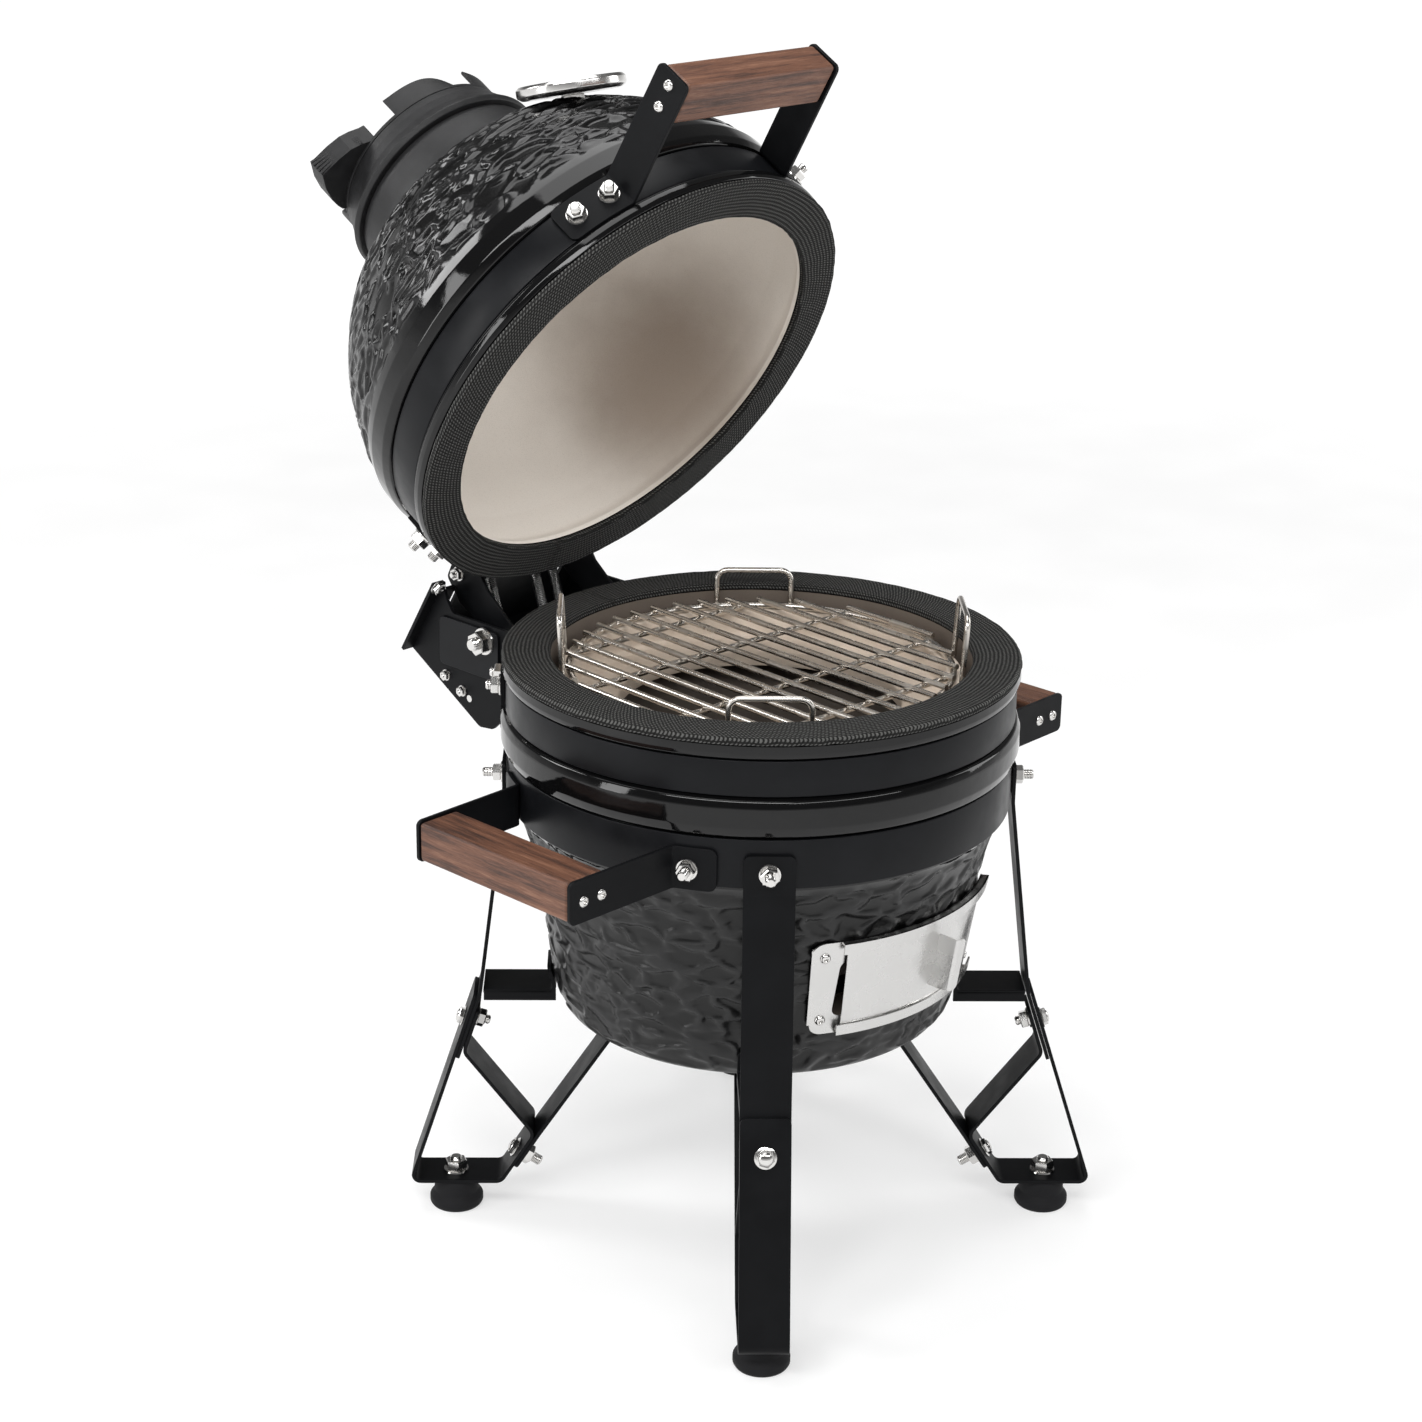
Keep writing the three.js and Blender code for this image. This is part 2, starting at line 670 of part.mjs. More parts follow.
// ---- hinge, part fixed to the lid ----
const lidCheekX = [60, 64];
const upperAnchor = [223, 532.5];
const lidCheekShape = outline([
  [hingeY - 13, hingeZ - 4],
  [hingeY - 6, hingeZ - 13],
  [hingeY + 7, hingeZ - 13],
  [hingeY + 15, hingeZ - 2],
  [245, 520],
  [236, 543],
  [190, 546],
  [190, 516],
  [205, 514],
  [212, 500],
]);
const lidBracket = cut(
  union(
    common(
      ring(bandOuter + gap + 0.2, hingePlateOuter, lidBand[0] - 0.5, lidBand[1] + 1),
      wedge(180 - 31, 180 + 31, 500, 560),
    ),
    cut(
      union(
        cheek(lidCheekShape, -lidCheekX[1], -lidCheekX[0]),
        cheek(lidCheekShape, lidCheekX[0], lidCheekX[1]),
      ),
      turned([[0, 480], [bandOuter + gap + 0.4, 480], [bandOuter + gap + 0.4, 560], [0, 560]]),
    ),
  ),
  pivotHole,
  rod([-120, ...upperAnchor], [120, ...upperAnchor], anchorRadius + 0.1, 12),
);
add(lid, "hinge_lid_bracket", lidBracket, powderCoat);
add(lid, "spring_rod_upper", rod([-76, ...upperAnchor], [76, ...upperAnchor], anchorRadius, 12), stainless);

// ---- lid opened about the hinge ----
const openTurn = new THREE.Matrix4()
  .makeTranslation(0, hingeY, hingeZ)
  .multiply(new THREE.Matrix4().makeRotationX(-lidOpenAngle * degrees))
  .multiply(new THREE.Matrix4().makeTranslation(0, -hingeY, -hingeZ));
lid.applyMatrix4(openTurn);
grill.add(lid);

// ---- counterbalance springs between the two hinge brackets, at their open length ----
const openAnchor = new THREE.Vector3(0, ...upperAnchor).applyMatrix4(openTurn);
const anchorLow = new THREE.Vector3(0, ...springAnchor);
const springRadius = 4.5;
const springDirection = openAnchor.clone().sub(anchorLow).normalize();
const springClear = anchorRadius + gap;
[-32, 18, 38].forEach((x, i) => {
  const low = anchorLow.clone().addScaledVector(springDirection, springClear).setX(x);
  const high = openAnchor.clone().addScaledVector(springDirection, -springClear).setX(x);
  add(grill, `spring_${i + 1}`, rod(low.toArray(), high.toArray(), springRadius, 10), stainless);
});

grill.position.y = -rearOverhang;
const part = new THREE.Group();
part.add(grill);
part.updateMatrixWorld(true);

export default part;
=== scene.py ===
"""Looks of a compact ceramic kamado grill with its lid open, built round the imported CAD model.

Shapes are drawn in millimetres about the grill's own axis (x = y = 0, floor at z = 0, vent door at -Y).
Pieces of the lid are drawn with the lid closed and placed with it open.
"""

import json
import math
from math import cos, pi, radians, sin, sqrt, tan

import bmesh
import bpy
import numpy as np
from mathutils import Matrix, Vector, noise


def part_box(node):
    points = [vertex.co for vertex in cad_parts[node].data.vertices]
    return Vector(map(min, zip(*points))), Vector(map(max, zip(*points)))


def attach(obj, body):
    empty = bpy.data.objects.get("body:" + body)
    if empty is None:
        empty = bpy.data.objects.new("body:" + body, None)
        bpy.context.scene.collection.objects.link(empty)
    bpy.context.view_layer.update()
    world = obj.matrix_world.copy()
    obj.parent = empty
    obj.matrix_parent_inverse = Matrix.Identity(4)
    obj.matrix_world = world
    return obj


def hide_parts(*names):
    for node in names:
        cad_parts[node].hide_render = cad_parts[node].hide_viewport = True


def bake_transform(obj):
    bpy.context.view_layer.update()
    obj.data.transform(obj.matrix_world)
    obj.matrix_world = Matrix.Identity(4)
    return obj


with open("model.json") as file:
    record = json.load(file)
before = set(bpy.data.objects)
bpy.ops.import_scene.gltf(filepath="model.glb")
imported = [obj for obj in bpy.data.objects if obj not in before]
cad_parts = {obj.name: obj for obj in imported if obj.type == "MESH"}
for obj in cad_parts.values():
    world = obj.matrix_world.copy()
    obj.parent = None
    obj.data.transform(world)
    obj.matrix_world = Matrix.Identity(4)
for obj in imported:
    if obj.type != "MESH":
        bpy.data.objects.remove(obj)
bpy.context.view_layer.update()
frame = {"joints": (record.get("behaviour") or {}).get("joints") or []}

# ---- frame of the drawing ----
MM = 0.001
bowl_low, bowl_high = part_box("base_bowl")
axis_y = (bowl_low.y + bowl_high.y) / 2
hinge_joint = next(joint for joint in frame["joints"] if joint["name"] == "lid_hinge")
pivot = Vector(hinge_joint["pos_m"])
open_angle = radians(hinge_joint["range_deg"][1])
BASE = Matrix.Translation((0, axis_y, 0)) @ Matrix.Scale(MM, 4)
LID = (Matrix.Translation(pivot) @ Matrix.Rotation(-open_angle, 4, "X")
       @ Matrix.Translation(-pivot) @ BASE)
HINGE_Y = (pivot.y - axis_y) / MM
HINGE_Z = pivot.z / MM

# Blender's noise starts from the clock unless it is given a seed.
FRAY_SEED = 7
noise.seed_set(FRAY_SEED)

# ---- driving dimensions, in millimetres ----
SHEET = 3                      # strap steel
STRAP = 39                     # strap width
RIM = 496                      # top of the base gasket
LID_RIM = RIM + 0.4            # underside of the lid gasket, closed
BAND_OUTER = 202
STAND_BAND_OUTER = 200.8
HINGE_BAND = (449.5, 477.5)
STAND_BAND = (376, 415)
LID_BAND = (LID_RIM + 19, LID_RIM + 49)
DOME_CENTRE = 523.5
DOME_RADIUS = 209.5
DOME_WALL = 22
LEGS = {"front_left": -45, "front_right": 45, "rear_left": -135, "rear_right": 135}
GRIP_HALF = 80


# ---- shapes: lists of vertices and faces ----
class Shape:
    def __init__(self, verts=(), faces=(), zones=None):
        self.verts = [tuple(v) for v in verts]
        self.faces = [tuple(f) for f in faces]
        self.zones = list(zones) if zones else [0] * len(self.faces)

    def __add__(self, other):
        offset = len(self.verts)
        moved = [tuple(i + offset for i in face) for face in other.faces]
        return Shape(self.verts + other.verts, self.faces + moved, self.zones + other.zones)

    def at(self, matrix):
        return Shape([matrix @ Vector(v) for v in self.verts], self.faces, self.zones)

    def turn(self, degrees):
        return self.at(Matrix.Rotation(radians(degrees), 4, "Z"))

    def swapped(self):
        """The shape with its Y and Z exchanged."""
        return Shape([(v[0], v[2], v[1]) for v in self.verts], self.faces)


def joined(shapes):
    total = Shape()
    for shape in shapes:
        total = total + shape
    return total


def polar(radius, degrees, z=0.0):
    angle = radians(degrees)
    return Vector((radius * sin(angle), -radius * cos(angle), z))


def fillet(points, radius=3.0, steps=4, closed=False):
    """Rounds the corners of a 2-D path. A point may carry its own radius as a third number."""
    path = []
    count = len(points)
    for i, point in enumerate(points):
        own = point[2] if len(point) > 2 else radius
        here = Vector(point[:2])
        if own == 0 or (not closed and i in (0, count - 1)):
            path.append(here)
            continue
        to_last = Vector(points[i - 1][:2]) - here
        to_next = Vector(points[(i + 1) % count][:2]) - here
        room = 0.49 * min(to_last.length, to_next.length)
        to_last.normalize()
        to_next.normalize()
        corner = to_last.angle(to_next)
        if corner > radians(177):
            path.append(here)
            continue
        cut = min(own / tan(corner / 2), room)
        bend = cut * tan(corner / 2)
        centre = here + (to_last + to_next).normalized() * bend / sin(corner / 2)
        first = here + to_last * cut - centre
        last = here + to_next * cut - centre
        sweep = math.atan2(first.x * last.y - first.y * last.x, first.dot(last))
        for k in range(steps + 1):
            turn = sweep * k / steps
            path.append(centre + Vector((first.x * cos(turn) - first.y * sin(turn),
                                         first.x * sin(turn) + first.y * cos(turn))))
    return path


def resampled(points, step):
    """Adds points to a 2-D path so that no stretch is longer than step."""
    path = [Vector(points[0])]
    for start, end in zip(points, points[1:]):
        start, end = Vector(start), Vector(end)
        pieces = max(1, math.ceil((end - start).length / step))
        path += [start.lerp(end, (k + 1) / pieces) for k in range(pieces)]
    return path


def lathe(profile, segments=96, start=0.0, end=360.0, closed=True, zones=None):
    """Turns [radius, height] points about Z. Angles are from the front, towards +X."""
    full = end - start >= 360
    columns = segments if full else segments + 1
    rows = len(profile)
    verts = []
    for i in range(columns):
        angle = start + (end - start) * i / segments
        verts += [polar(p[0], angle, p[1]) for p in profile]
    faces = []
    face_zones = []
    for i in range(segments):
        j = (i + 1) % columns
        for k in range(rows if closed else rows - 1):
            m = (k + 1) % rows
            faces.append((i * rows + k, j * rows + k, j * rows + m, i * rows + m))
            face_zones.append(zones[k] if zones else 0)
    if not full and closed:
        faces += [tuple(range(rows)), tuple((columns - 1) * rows + k for k in range(rows))]
        face_zones += [0, 0]
    return Shape(verts, faces, face_zones)


def raised(points, height):
    """Corner points whose heights are measured from a height."""
    return [(x, height + z, *radius) for x, z, *radius in points]


def corners(inner, outer, low, high):
    """The four corners of a rectangle, anticlockwise from its lower inner one."""
    return [(inner, low), (outer, low), (outer, high), (inner, high)]


def disc(radius, low, high, segments):
    """A solid cylinder about Z."""
    return lathe(corners(0, radius, low, high), segments, closed=False)


def extrude(outline, low, high):
    """A prism: a 2-D outline in XY between two heights."""
    count = len(outline)
    verts = [(p[0], p[1], low) for p in outline] + [(p[0], p[1], high) for p in outline]
    faces = [tuple(range(count)), tuple(range(count, 2 * count))]
    faces += [(i, (i + 1) % count, (i + 1) % count + count, i + count) for i in range(count)]
    return Shape(verts, faces)


def ribbon(path, thickness, width, rounding=(0, 0)):
    """A bent strip: a 2-D path in XZ, with its width along Y. Rounding is the corner radius at each end."""
    path, widths = rounded_ends([Vector(p) for p in path], width, rounding)
    verts = []
    for i, point in enumerate(path):
        before = path[max(i - 1, 0)]
        after = path[min(i + 1, len(path) - 1)]
        incoming = (point - before if i else after - point).normalized()
        outgoing = (after - point if i < len(path) - 1 else incoming).normalized()
        mitre = (incoming + outgoing).normalized()
        reach = thickness / 2 / max(mitre.dot(incoming), 0.3)
        normal = Vector((-mitre.y, mitre.x)) * reach
        for side in (1, -1):
            edge = point + normal * side
            verts += [(edge.x, -widths[i] / 2, edge.y), (edge.x, widths[i] / 2, edge.y)]
    faces = []
    for i in range(len(path) - 1):
        a, b = 4 * i, 4 * i + 4
        faces += [(a, a + 1, b + 1, b), (a + 2, b + 2, b + 3, a + 3),
                  (a, b, b + 2, a + 2), (a + 1, a + 3, b + 3, b + 1)]
    end = 4 * (len(path) - 1)
    faces += [(0, 2, 3, 1), (end, end + 1, end + 3, end + 2)]
    return Shape(verts, faces)


def rounded_ends(path, width, rounding):
    """Adds points near the ends of a path and narrows the strip there, so that its corners are round."""
    for _ in range(2):
        radius = rounding[0]
        if radius:
            first, second = path[0], path[1]
            along = (second - first).normalized()
            added = [first + along * radius * (1 - cos(pi / 2 * k / 4)) for k in range(1, 5)]
            path = [first, *added, *path[1:]]
        path = path[::-1]
        rounding = rounding[::-1]
    widths = [width] * len(path)
    for backwards, radius in ((False, rounding[0]), (True, rounding[1])):
        for k in range(5 if radius else 0):
            narrow = width - 2 * radius * (1 - sin(pi / 2 * k / 4))
            widths[-1 - k if backwards else k] = narrow
    return path, widths


def radial(shape, degrees):
    """Turns a shape drawn in the XZ plane to an angle from the front."""
    return shape.turn(degrees - 90)


def swept(verts, count):
    """Joins rings of count points each into a closed bar."""
    last = len(verts) - count
    faces = []
    for first in range(0, last, count):
        for k in range(count):
            m = (k + 1) % count
            faces.append((first + k, first + m, first + count + m, first + count + k))
    faces += [tuple(range(count)), tuple(last + k for k in range(count))]
    return Shape(verts, faces)


def tube(points, radius, sides=10):
    """A round wire along 3-D points."""
    points = [Vector(p) for p in points]
    verts = []
    normal = None
    for i, point in enumerate(points):
        direction = (points[min(i + 1, len(points) - 1)] - points[max(i - 1, 0)]).normalized()
        if normal is None:
            normal = Vector((0, 0, 1)) if abs(direction.z) < 0.9 else Vector((1, 0, 0))
        normal = (normal - direction * normal.dot(direction)).normalized()
        across = direction.cross(normal)
        for k in range(sides):
            turn = 2 * pi * k / sides
            verts.append(point + (normal * cos(turn) + across * sin(turn)) * radius)
    return swept(verts, sides)


def box(x, y, z):
    return extrude(corners(*x, *y), *z)


def facing(point, direction):
    """A matrix that takes +Z to a direction, at a point."""
    turn = Vector((0, 0, 1)).rotation_difference(Vector(direction)).to_matrix().to_4x4()
    return Matrix.Translation(Vector(point)) @ turn


def sheet_plate(outline, low, high):
    """A plate drawn as [y, z] points, between two x positions."""
    flat = extrude(outline, low, high)
    return Shape([(v[2], v[0], v[1]) for v in flat.verts], flat.faces, flat.zones)


# ---- materials ----
def grey(level):
    return (level, level, level)


def material(name, color, roughness, metallic=0.0, **more):
    made = bpy.data.materials.new(name)
    made.use_nodes = True
    shader = made.node_tree.nodes["Principled BSDF"]
    shader.inputs["Base Color"].default_value = (*color, 1)
    shader.inputs["Roughness"].default_value = roughness
    shader.inputs["Metallic"].default_value = metallic
    for key, value in more.items():
        shader.inputs[key.replace("_", " ")].default_value = value
    return made, made.node_tree, shader


def node(tree, kind, _out=0, _set=None, **inputs):
    """Adds a node. Inputs are values or sockets. Returns the chosen output."""
    made = tree.nodes.new(kind)
    for key, value in (_set or {}).items():
        setattr(made, key, value)
    for key, value in inputs.items():
        name = key.replace("_", " ").strip()
        index = int(name[1:]) if name[0] == "i" and name[1:].isdigit() else name
        socket = made.inputs[index]
        if isinstance(value, bpy.types.NodeSocket):
            tree.links.new(value, socket)
        else:
            socket.default_value = value
    return made.outputs[_out]


def place_socket(tree):
    """The point's place in the drawing, in millimetres, lid closed."""
    return node(tree, "ShaderNodeAttribute", 1, _set={"attribute_name": "at"})


def ramp(tree, factor, stops):
    made = tree.nodes.new("ShaderNodeValToRGB")
    made.color_ramp.interpolation = "EASE"
    elements = made.color_ramp.elements
    while len(elements) < len(stops):
        elements.new(0.5)
    for element, (position, color) in zip(elements, stops):
        element.position = position
        element.color = (*color, 1)
    tree.links.new(factor, made.inputs["Fac"])
    return made.outputs["Color"]


def noise_value(tree, at, scale, detail=3.0, roughness=0.55, stretch=(1, 1, 1)):
    scaled = node(tree, "ShaderNodeVectorMath", _set={"operation": "MULTIPLY"}, i0=at, i1=stretch)
    return node(tree, "ShaderNodeTexNoise", _set={"noise_dimensions": "3D"},
                Vector=scaled, Scale=scale, Detail=detail, Roughness=roughness)


def spread(tree, value, low, high, out_low, out_high):
    """Maps a value's range to another, smoothly."""
    made = tree.nodes.new("ShaderNodeMapRange")
    made.interpolation_type = "SMOOTHSTEP"
    for index, number in zip((1, 2, 3, 4), (low, high, out_low, out_high)):
        made.inputs[index].default_value = number
    tree.links.new(value, made.inputs[0])
    return made.outputs[0]


def bump(tree, shader, height, distance, strength=1.0, under=None):
    made = tree.nodes.new("ShaderNodeBump")
    made.inputs["Distance"].default_value = distance
    made.inputs["Strength"].default_value = strength
    tree.links.new(height, made.inputs["Height"])
    if under:
        tree.links.new(under, made.inputs["Normal"])
    if shader:
        tree.links.new(made.outputs["Normal"], shader.inputs["Normal"])
    return made.outputs["Normal"]


def wrinkles(tree, skin):
    """Relief of the wrinkled glaze: 1 on a net of worm-like ridges, 0 in the hollows between them."""
    warp = node(tree, "ShaderNodeTexNoise", 1, Vector=skin, Scale=0.042, Detail=0.0, Roughness=0.4)
    centred = node(tree, "ShaderNodeVectorMath", _set={"operation": "SUBTRACT"}, i0=warp, i1=(0.5, 0.5, 0.5))
    pushed = node(tree, "ShaderNodeVectorMath", _set={"operation": "MULTIPLY"}, i0=centred, i1=(24, 24, 24))
    bent = node(tree, "ShaderNodeVectorMath", _set={"operation": "ADD"}, i0=skin, i1=pushed)
    edge = node(tree, "ShaderNodeTexVoronoi", _set={"feature": "DISTANCE_TO_EDGE"}, Vector=bent, Scale=0.030)
    ridge = spread(tree, edge, 0.0, 0.25, 1.0, 0.0)
    gaps = node(tree, "ShaderNodeTexNoise", Vector=skin, Scale=0.045, Detail=0.0, Roughness=0.4)
    kept = spread(tree, gaps, 0.28, 0.44, 0.3, 1.0)
    return node(tree, "ShaderNodeMath", _set={"operation": "MULTIPLY"}, i0=ridge, i1=kept)


def skin_socket(tree, geometry=False):
    """The point's place on the shell, stretched along the meridian so that wrinkles run round the shell."""
    if geometry:
        return node(tree, "GeometryNodeInputNamedAttribute", _set={"data_type": "FLOAT_VECTOR"}, Name="skin")
    return node(tree, "ShaderNodeAttribute", 1, _set={"attribute_name": "skin"})


def glaze(name, roughness, relief):
    made, tree, shader = material(name, (0.003, 0.003, 0.0032), roughness, Specular_IOR_Level=0.34)
    at = place_socket(tree)
    speck = noise_value(tree, at, 0.9, 3)
    fine = bump(tree, None, speck, 0.00004, 0.4)
    if relief:
        height = wrinkles(tree, skin_socket(tree))
        bump(tree, shader, height, relief, 1.0, fine)
        # Painted highlight on the wrinkles' ridges and painted shade in the hollows between them.
        painted_highlight_and_shade = ramp(tree, height, [(0.0, grey(0.0012)), (1.0, (0.009, 0.009, 0.0093))])
        tree.links.new(painted_highlight_and_shade, shader.inputs["Base Color"])
    else:
        slow = noise_value(tree, at, 0.04, 2)
        bump(tree, shader, slow, 0.0006, 0.6, fine)
    return made


def painted(name, color, roughness, grain=2.2, height=0.00004, specular=0.13):
    made, tree, shader = material(name, color, roughness, Specular_IOR_Level=specular)
    at = place_socket(tree)
    peel = noise_value(tree, at, grain, 2)
    patches = noise_value(tree, at, 0.03, 3)
    worn = spread(tree, patches, 0.3, 0.7, roughness - 0.05, roughness + 0.07)
    tree.links.new(worn, shader.inputs["Roughness"])
    light = tuple(c * 1.35 for c in color)
    tree.links.new(ramp(tree, patches, [(0.3, color), (0.75, light)]), shader.inputs["Base Color"])
    bump(tree, shader, peel, height, 0.6)
    return made


def bright_steel(name, roughness, color=(0.80, 0.79, 0.77), grain=(0.02, 0.02, 1.5)):
    made, tree, shader = material(name, color, roughness, 1.0)
    at = place_socket(tree)
    lines = noise_value(tree, at, 1.0, 3, stretch=grain)
    smears = noise_value(tree, at, 0.05, 3)
    smeared = spread(tree, smears, 0.3, 0.7, roughness * 0.8, roughness * 1.5)
    tree.links.new(smeared, shader.inputs["Roughness"])
    bump(tree, shader, lines, 0.00002, 0.35)
    return made


def walnut(name, along):
    """Oiled walnut with its grain along the grip's axis: (x, y, z) stretch factors."""
    made, tree, shader = material(name, (0.2, 0.09, 0.05), 0.5)
    at = place_socket(tree)
    figure = noise_value(tree, at, 0.19, 6, 0.66, stretch=along)
    fibre = noise_value(tree, at, 1.3, 6, 0.75, stretch=along)
    both = node(tree, "ShaderNodeMath", _set={"operation": "MULTIPLY_ADD"}, i0=fibre, i1=0.55, i2=figure)
    tone = ramp(tree, both, [(0.50, (0.012, 0.005, 0.003)), (0.64, (0.045, 0.017, 0.009)),
                             (0.80, (0.115, 0.045, 0.023)), (0.98, (0.20, 0.092, 0.052))])
    tree.links.new(tone, shader.inputs["Base Color"])
    tree.links.new(spread(tree, fibre, 0.3, 0.7, 0.62, 0.42), shader.inputs["Roughness"])
    bump(tree, shader, fibre, 0.00025, 0.7)
    return made


def fired_clay(name, inner, outer, centre=(0, 0, 0), flatten=0, near=95, far=215, roughness=0.85):
    """Unglazed ceramic, darker round a centre: colour goes from inner to outer with the distance from it."""
    made, tree, shader = material(name, outer, roughness)
    at = place_socket(tree)
    moved = node(tree, "ShaderNodeVectorMath", _set={"operation": "SUBTRACT"}, i0=at, i1=centre)
    flat = node(tree, "ShaderNodeVectorMath", _set={"operation": "MULTIPLY"}, i0=moved, i1=(1, 1, flatten))
    radius = node(tree, "ShaderNodeVectorMath", 1, _set={"operation": "LENGTH"}, i0=flat)
    cloud = noise_value(tree, at, 0.02, 4)
    shifted = node(tree, "ShaderNodeMath", _set={"operation": "MULTIPLY_ADD"}, i0=cloud, i1=40.0, i2=radius)
    tone = ramp(tree, spread(tree, shifted, near, far, 0, 1), [(0.0, inner), (1.0, outer)])
    grain = noise_value(tree, at, 1.4, 4)
    speck = ramp(tree, grain, [(0.3, (0.80, 0.79, 0.78)), (0.5, (1, 1, 1))])
    mixed = node(tree, "ShaderNodeMix", 2, _set={"data_type": "RGBA", "blend_type": "MULTIPLY"},
                 i0=0.6, i6=tone, i7=speck)
    tree.links.new(mixed, shader.inputs["Base Color"])
    bump(tree, shader, grain, 0.0003, 0.5)
    return made


def felt(name):
    """Woven high-heat gasket: rows of stitches that run round the rim, crossed by slanted ribs."""
    made, tree, shader = material(name, grey(0.02), 0.95, Specular_IOR_Level=0.2)
    woven = node(tree, "ShaderNodeAttribute", 1, _set={"attribute_name": "wrap"})
    slanted = node(tree, "ShaderNodeVectorRotate", _set={"rotation_type": "Z_AXIS"}, Vector=woven, Angle=0.6)
    rows = node(tree, "ShaderNodeTexWave", 1, _set={"wave_type": "BANDS", "bands_direction": "Y"},
                Vector=woven, Scale=0.10, Distortion=2.0, Detail=2.0, Detail_Scale=0.5)
    ribs = node(tree, "ShaderNodeTexWave", 1, _set={"wave_type": "BANDS", "bands_direction": "X"},
                Vector=slanted, Scale=0.13, Distortion=2.5, Detail=2.0, Detail_Scale=0.6)
    weave = node(tree, "ShaderNodeMath", _set={"operation": "MULTIPLY"}, i0=rows, i1=ribs)
    at = place_socket(tree)
    fuzz = noise_value(tree, at, 0.8, 5, 0.7)
    height = node(tree, "ShaderNodeMath", _set={"operation": "MULTIPLY_ADD"}, i0=fuzz, i1=0.8, i2=weave)
    tone = ramp(tree, height, [(0.25, grey(0.004)), (0.7, (0.020, 0.020, 0.019)),
                               (1.0, (0.10, 0.10, 0.096))])
    tree.links.new(tone, shader.inputs["Base Color"])
    bump(tree, shader, height, 0.0011, 0.9)
    return made


def rough_iron(name, color, roughness=0.6):
    made, tree, shader = material(name, color, roughness, 0.0, Specular_IOR_Level=0.3)
    at = place_socket(tree)
    grain = noise_value(tree, at, 1.1, 5, 0.65)
    light = tuple(c * 1.7 for c in color)
    tree.links.new(ramp(tree, noise_value(tree, at, 0.06, 4), [(0.3, color), (0.75, light)]),
                   shader.inputs["Base Color"])
    bump(tree, shader, grain, 0.00025, 0.6)
    return made


DOME_GLAZE = glaze("dome_glaze", 0.18, 0.0006)
BOWL_GLAZE = glaze("bowl_glaze", 0.30, 0.0006)
GLOSS_GLAZE = glaze("gloss_glaze", 0.055, 0)
# Inside the lid the dark patch round the centre is painted shade, where that face is turned away from the
# lamps.
LID_CLAY_PAINTED_SHADE = fired_clay("lid_clay_painted_shade", (0.31, 0.255, 0.21), (0.80, 0.75, 0.69), (165, 95, 580), 1, 20, 215)
BASE_CLAY = fired_clay("base_clay", (0.48, 0.40, 0.32), (0.80, 0.70, 0.60))
SOOT = fired_clay("sooty_clay", (0.02, 0.017, 0.014), (0.13, 0.105, 0.085))
FELT = felt("felt")
BAND_PAINT = painted("band_paint", (0.0050, 0.0053, 0.0062), 0.34, 3.0, 0.00002)
STRAP_PAINT = painted("strap_paint", (0.0040, 0.0042, 0.0048), 0.42, specular=0.09)
CAP_IRON = rough_iron("cap_iron", (0.009, 0.009, 0.0095), 0.5)
GRATE_IRON = rough_iron("grate_iron", (0.016, 0.015, 0.014), 0.75)
STEEL = bright_steel("vent_steel", 0.24, (0.60, 0.595, 0.585), (1.5, 0.02, 0.02))
ROD_STEEL = bright_steel("rod_steel", 0.22, (0.62, 0.59, 0.55), (0.02, 0.02, 1.5))
CHROME = bright_steel("chrome", 0.15, (0.66, 0.65, 0.635), (0.6, 0.6, 0.6))
SPRING_STEEL = bright_steel("spring_steel", 0.28, (0.34, 0.335, 0.33), (0.6, 0.6, 0.6))
WALNUT_X = walnut("walnut_lid", (0.05, 1, 1))
WALNUT_Y = walnut("walnut_side", (1, 0.05, 1))
RUBBER = painted("rubber", (0.010, 0.010, 0.011), 0.68, 1.5, 0.00012)
DIAL_WHITE = painted("dial_face", (0.62, 0.61, 0.58), 0.5, 3.0, 0.00001)
DIAL_BLACK = painted("dial_black", (0.008, 0.008, 0.008), 0.4, 3.0, 0.00001)


def clear_glass():
    made, tree, shader = material("glass", (0.95, 0.97, 0.97), 0.03, Transmission_Weight=1.0, IOR=1.45)
    at = place_socket(tree)
    bump(tree, shader, noise_value(tree, at, 0.1, 2), 0.00003, 0.2)
    return made


GLASS = clear_glass()


# ---- pieces ----
def clean_mesh(name, shape, dissolve=False):
    """A mesh in the shape's own millimetres, with its doubles merged and its faces turned outwards."""
    mesh = bpy.data.meshes.new(name)
    mesh.from_pydata([tuple(v) for v in shape.verts], [], shape.faces)
    mesh.polygons.foreach_set("material_index", shape.zones)
    work = bmesh.new()
    work.from_mesh(mesh)
    bmesh.ops.remove_doubles(work, verts=work.verts, dist=0.002)
    if dissolve:
        bmesh.ops.dissolve_degenerate(work, edges=work.edges, dist=0.001)
    bmesh.ops.recalc_face_normals(work, faces=work.faces)
    work.to_mesh(mesh)
    work.free()
    return mesh


def linked(name, data):
    """A new object that is in the scene."""
    made = bpy.data.objects.new(name, data)
    bpy.context.scene.collection.objects.link(made)
    return made


def piece(name, shape, materials, body="base", place=BASE, replaces=(), bevel=0.0, smooth=35,
          bevel_segments=2, wrap=None, detail=None):
    """Makes one named object from a shape in millimetres, places it and lets it ride on a body."""
    materials = materials if isinstance(materials, (list, tuple)) else [materials]
    mesh = clean_mesh(name, shape, dissolve=True)
    for one in materials:
        mesh.materials.append(one)
    if detail:
        detail(mesh)
    note_places(mesh, wrap)
    mesh.transform(place)
    mesh.shade_smooth()
    mesh.set_sharp_from_angle(angle=radians(smooth))
    made = linked(name, mesh)
    if bevel:
        edges = made.modifiers.new("edges", "BEVEL")
        edges.width = bevel * MM
        edges.segments = bevel_segments
        edges.limit_method = "ANGLE"
        edges.angle_limit = radians(40)
        edges.harden_normals = True
    if replaces:
        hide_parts(*([replaces] if isinstance(replaces, str) else replaces))
    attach(made, body)
    return made


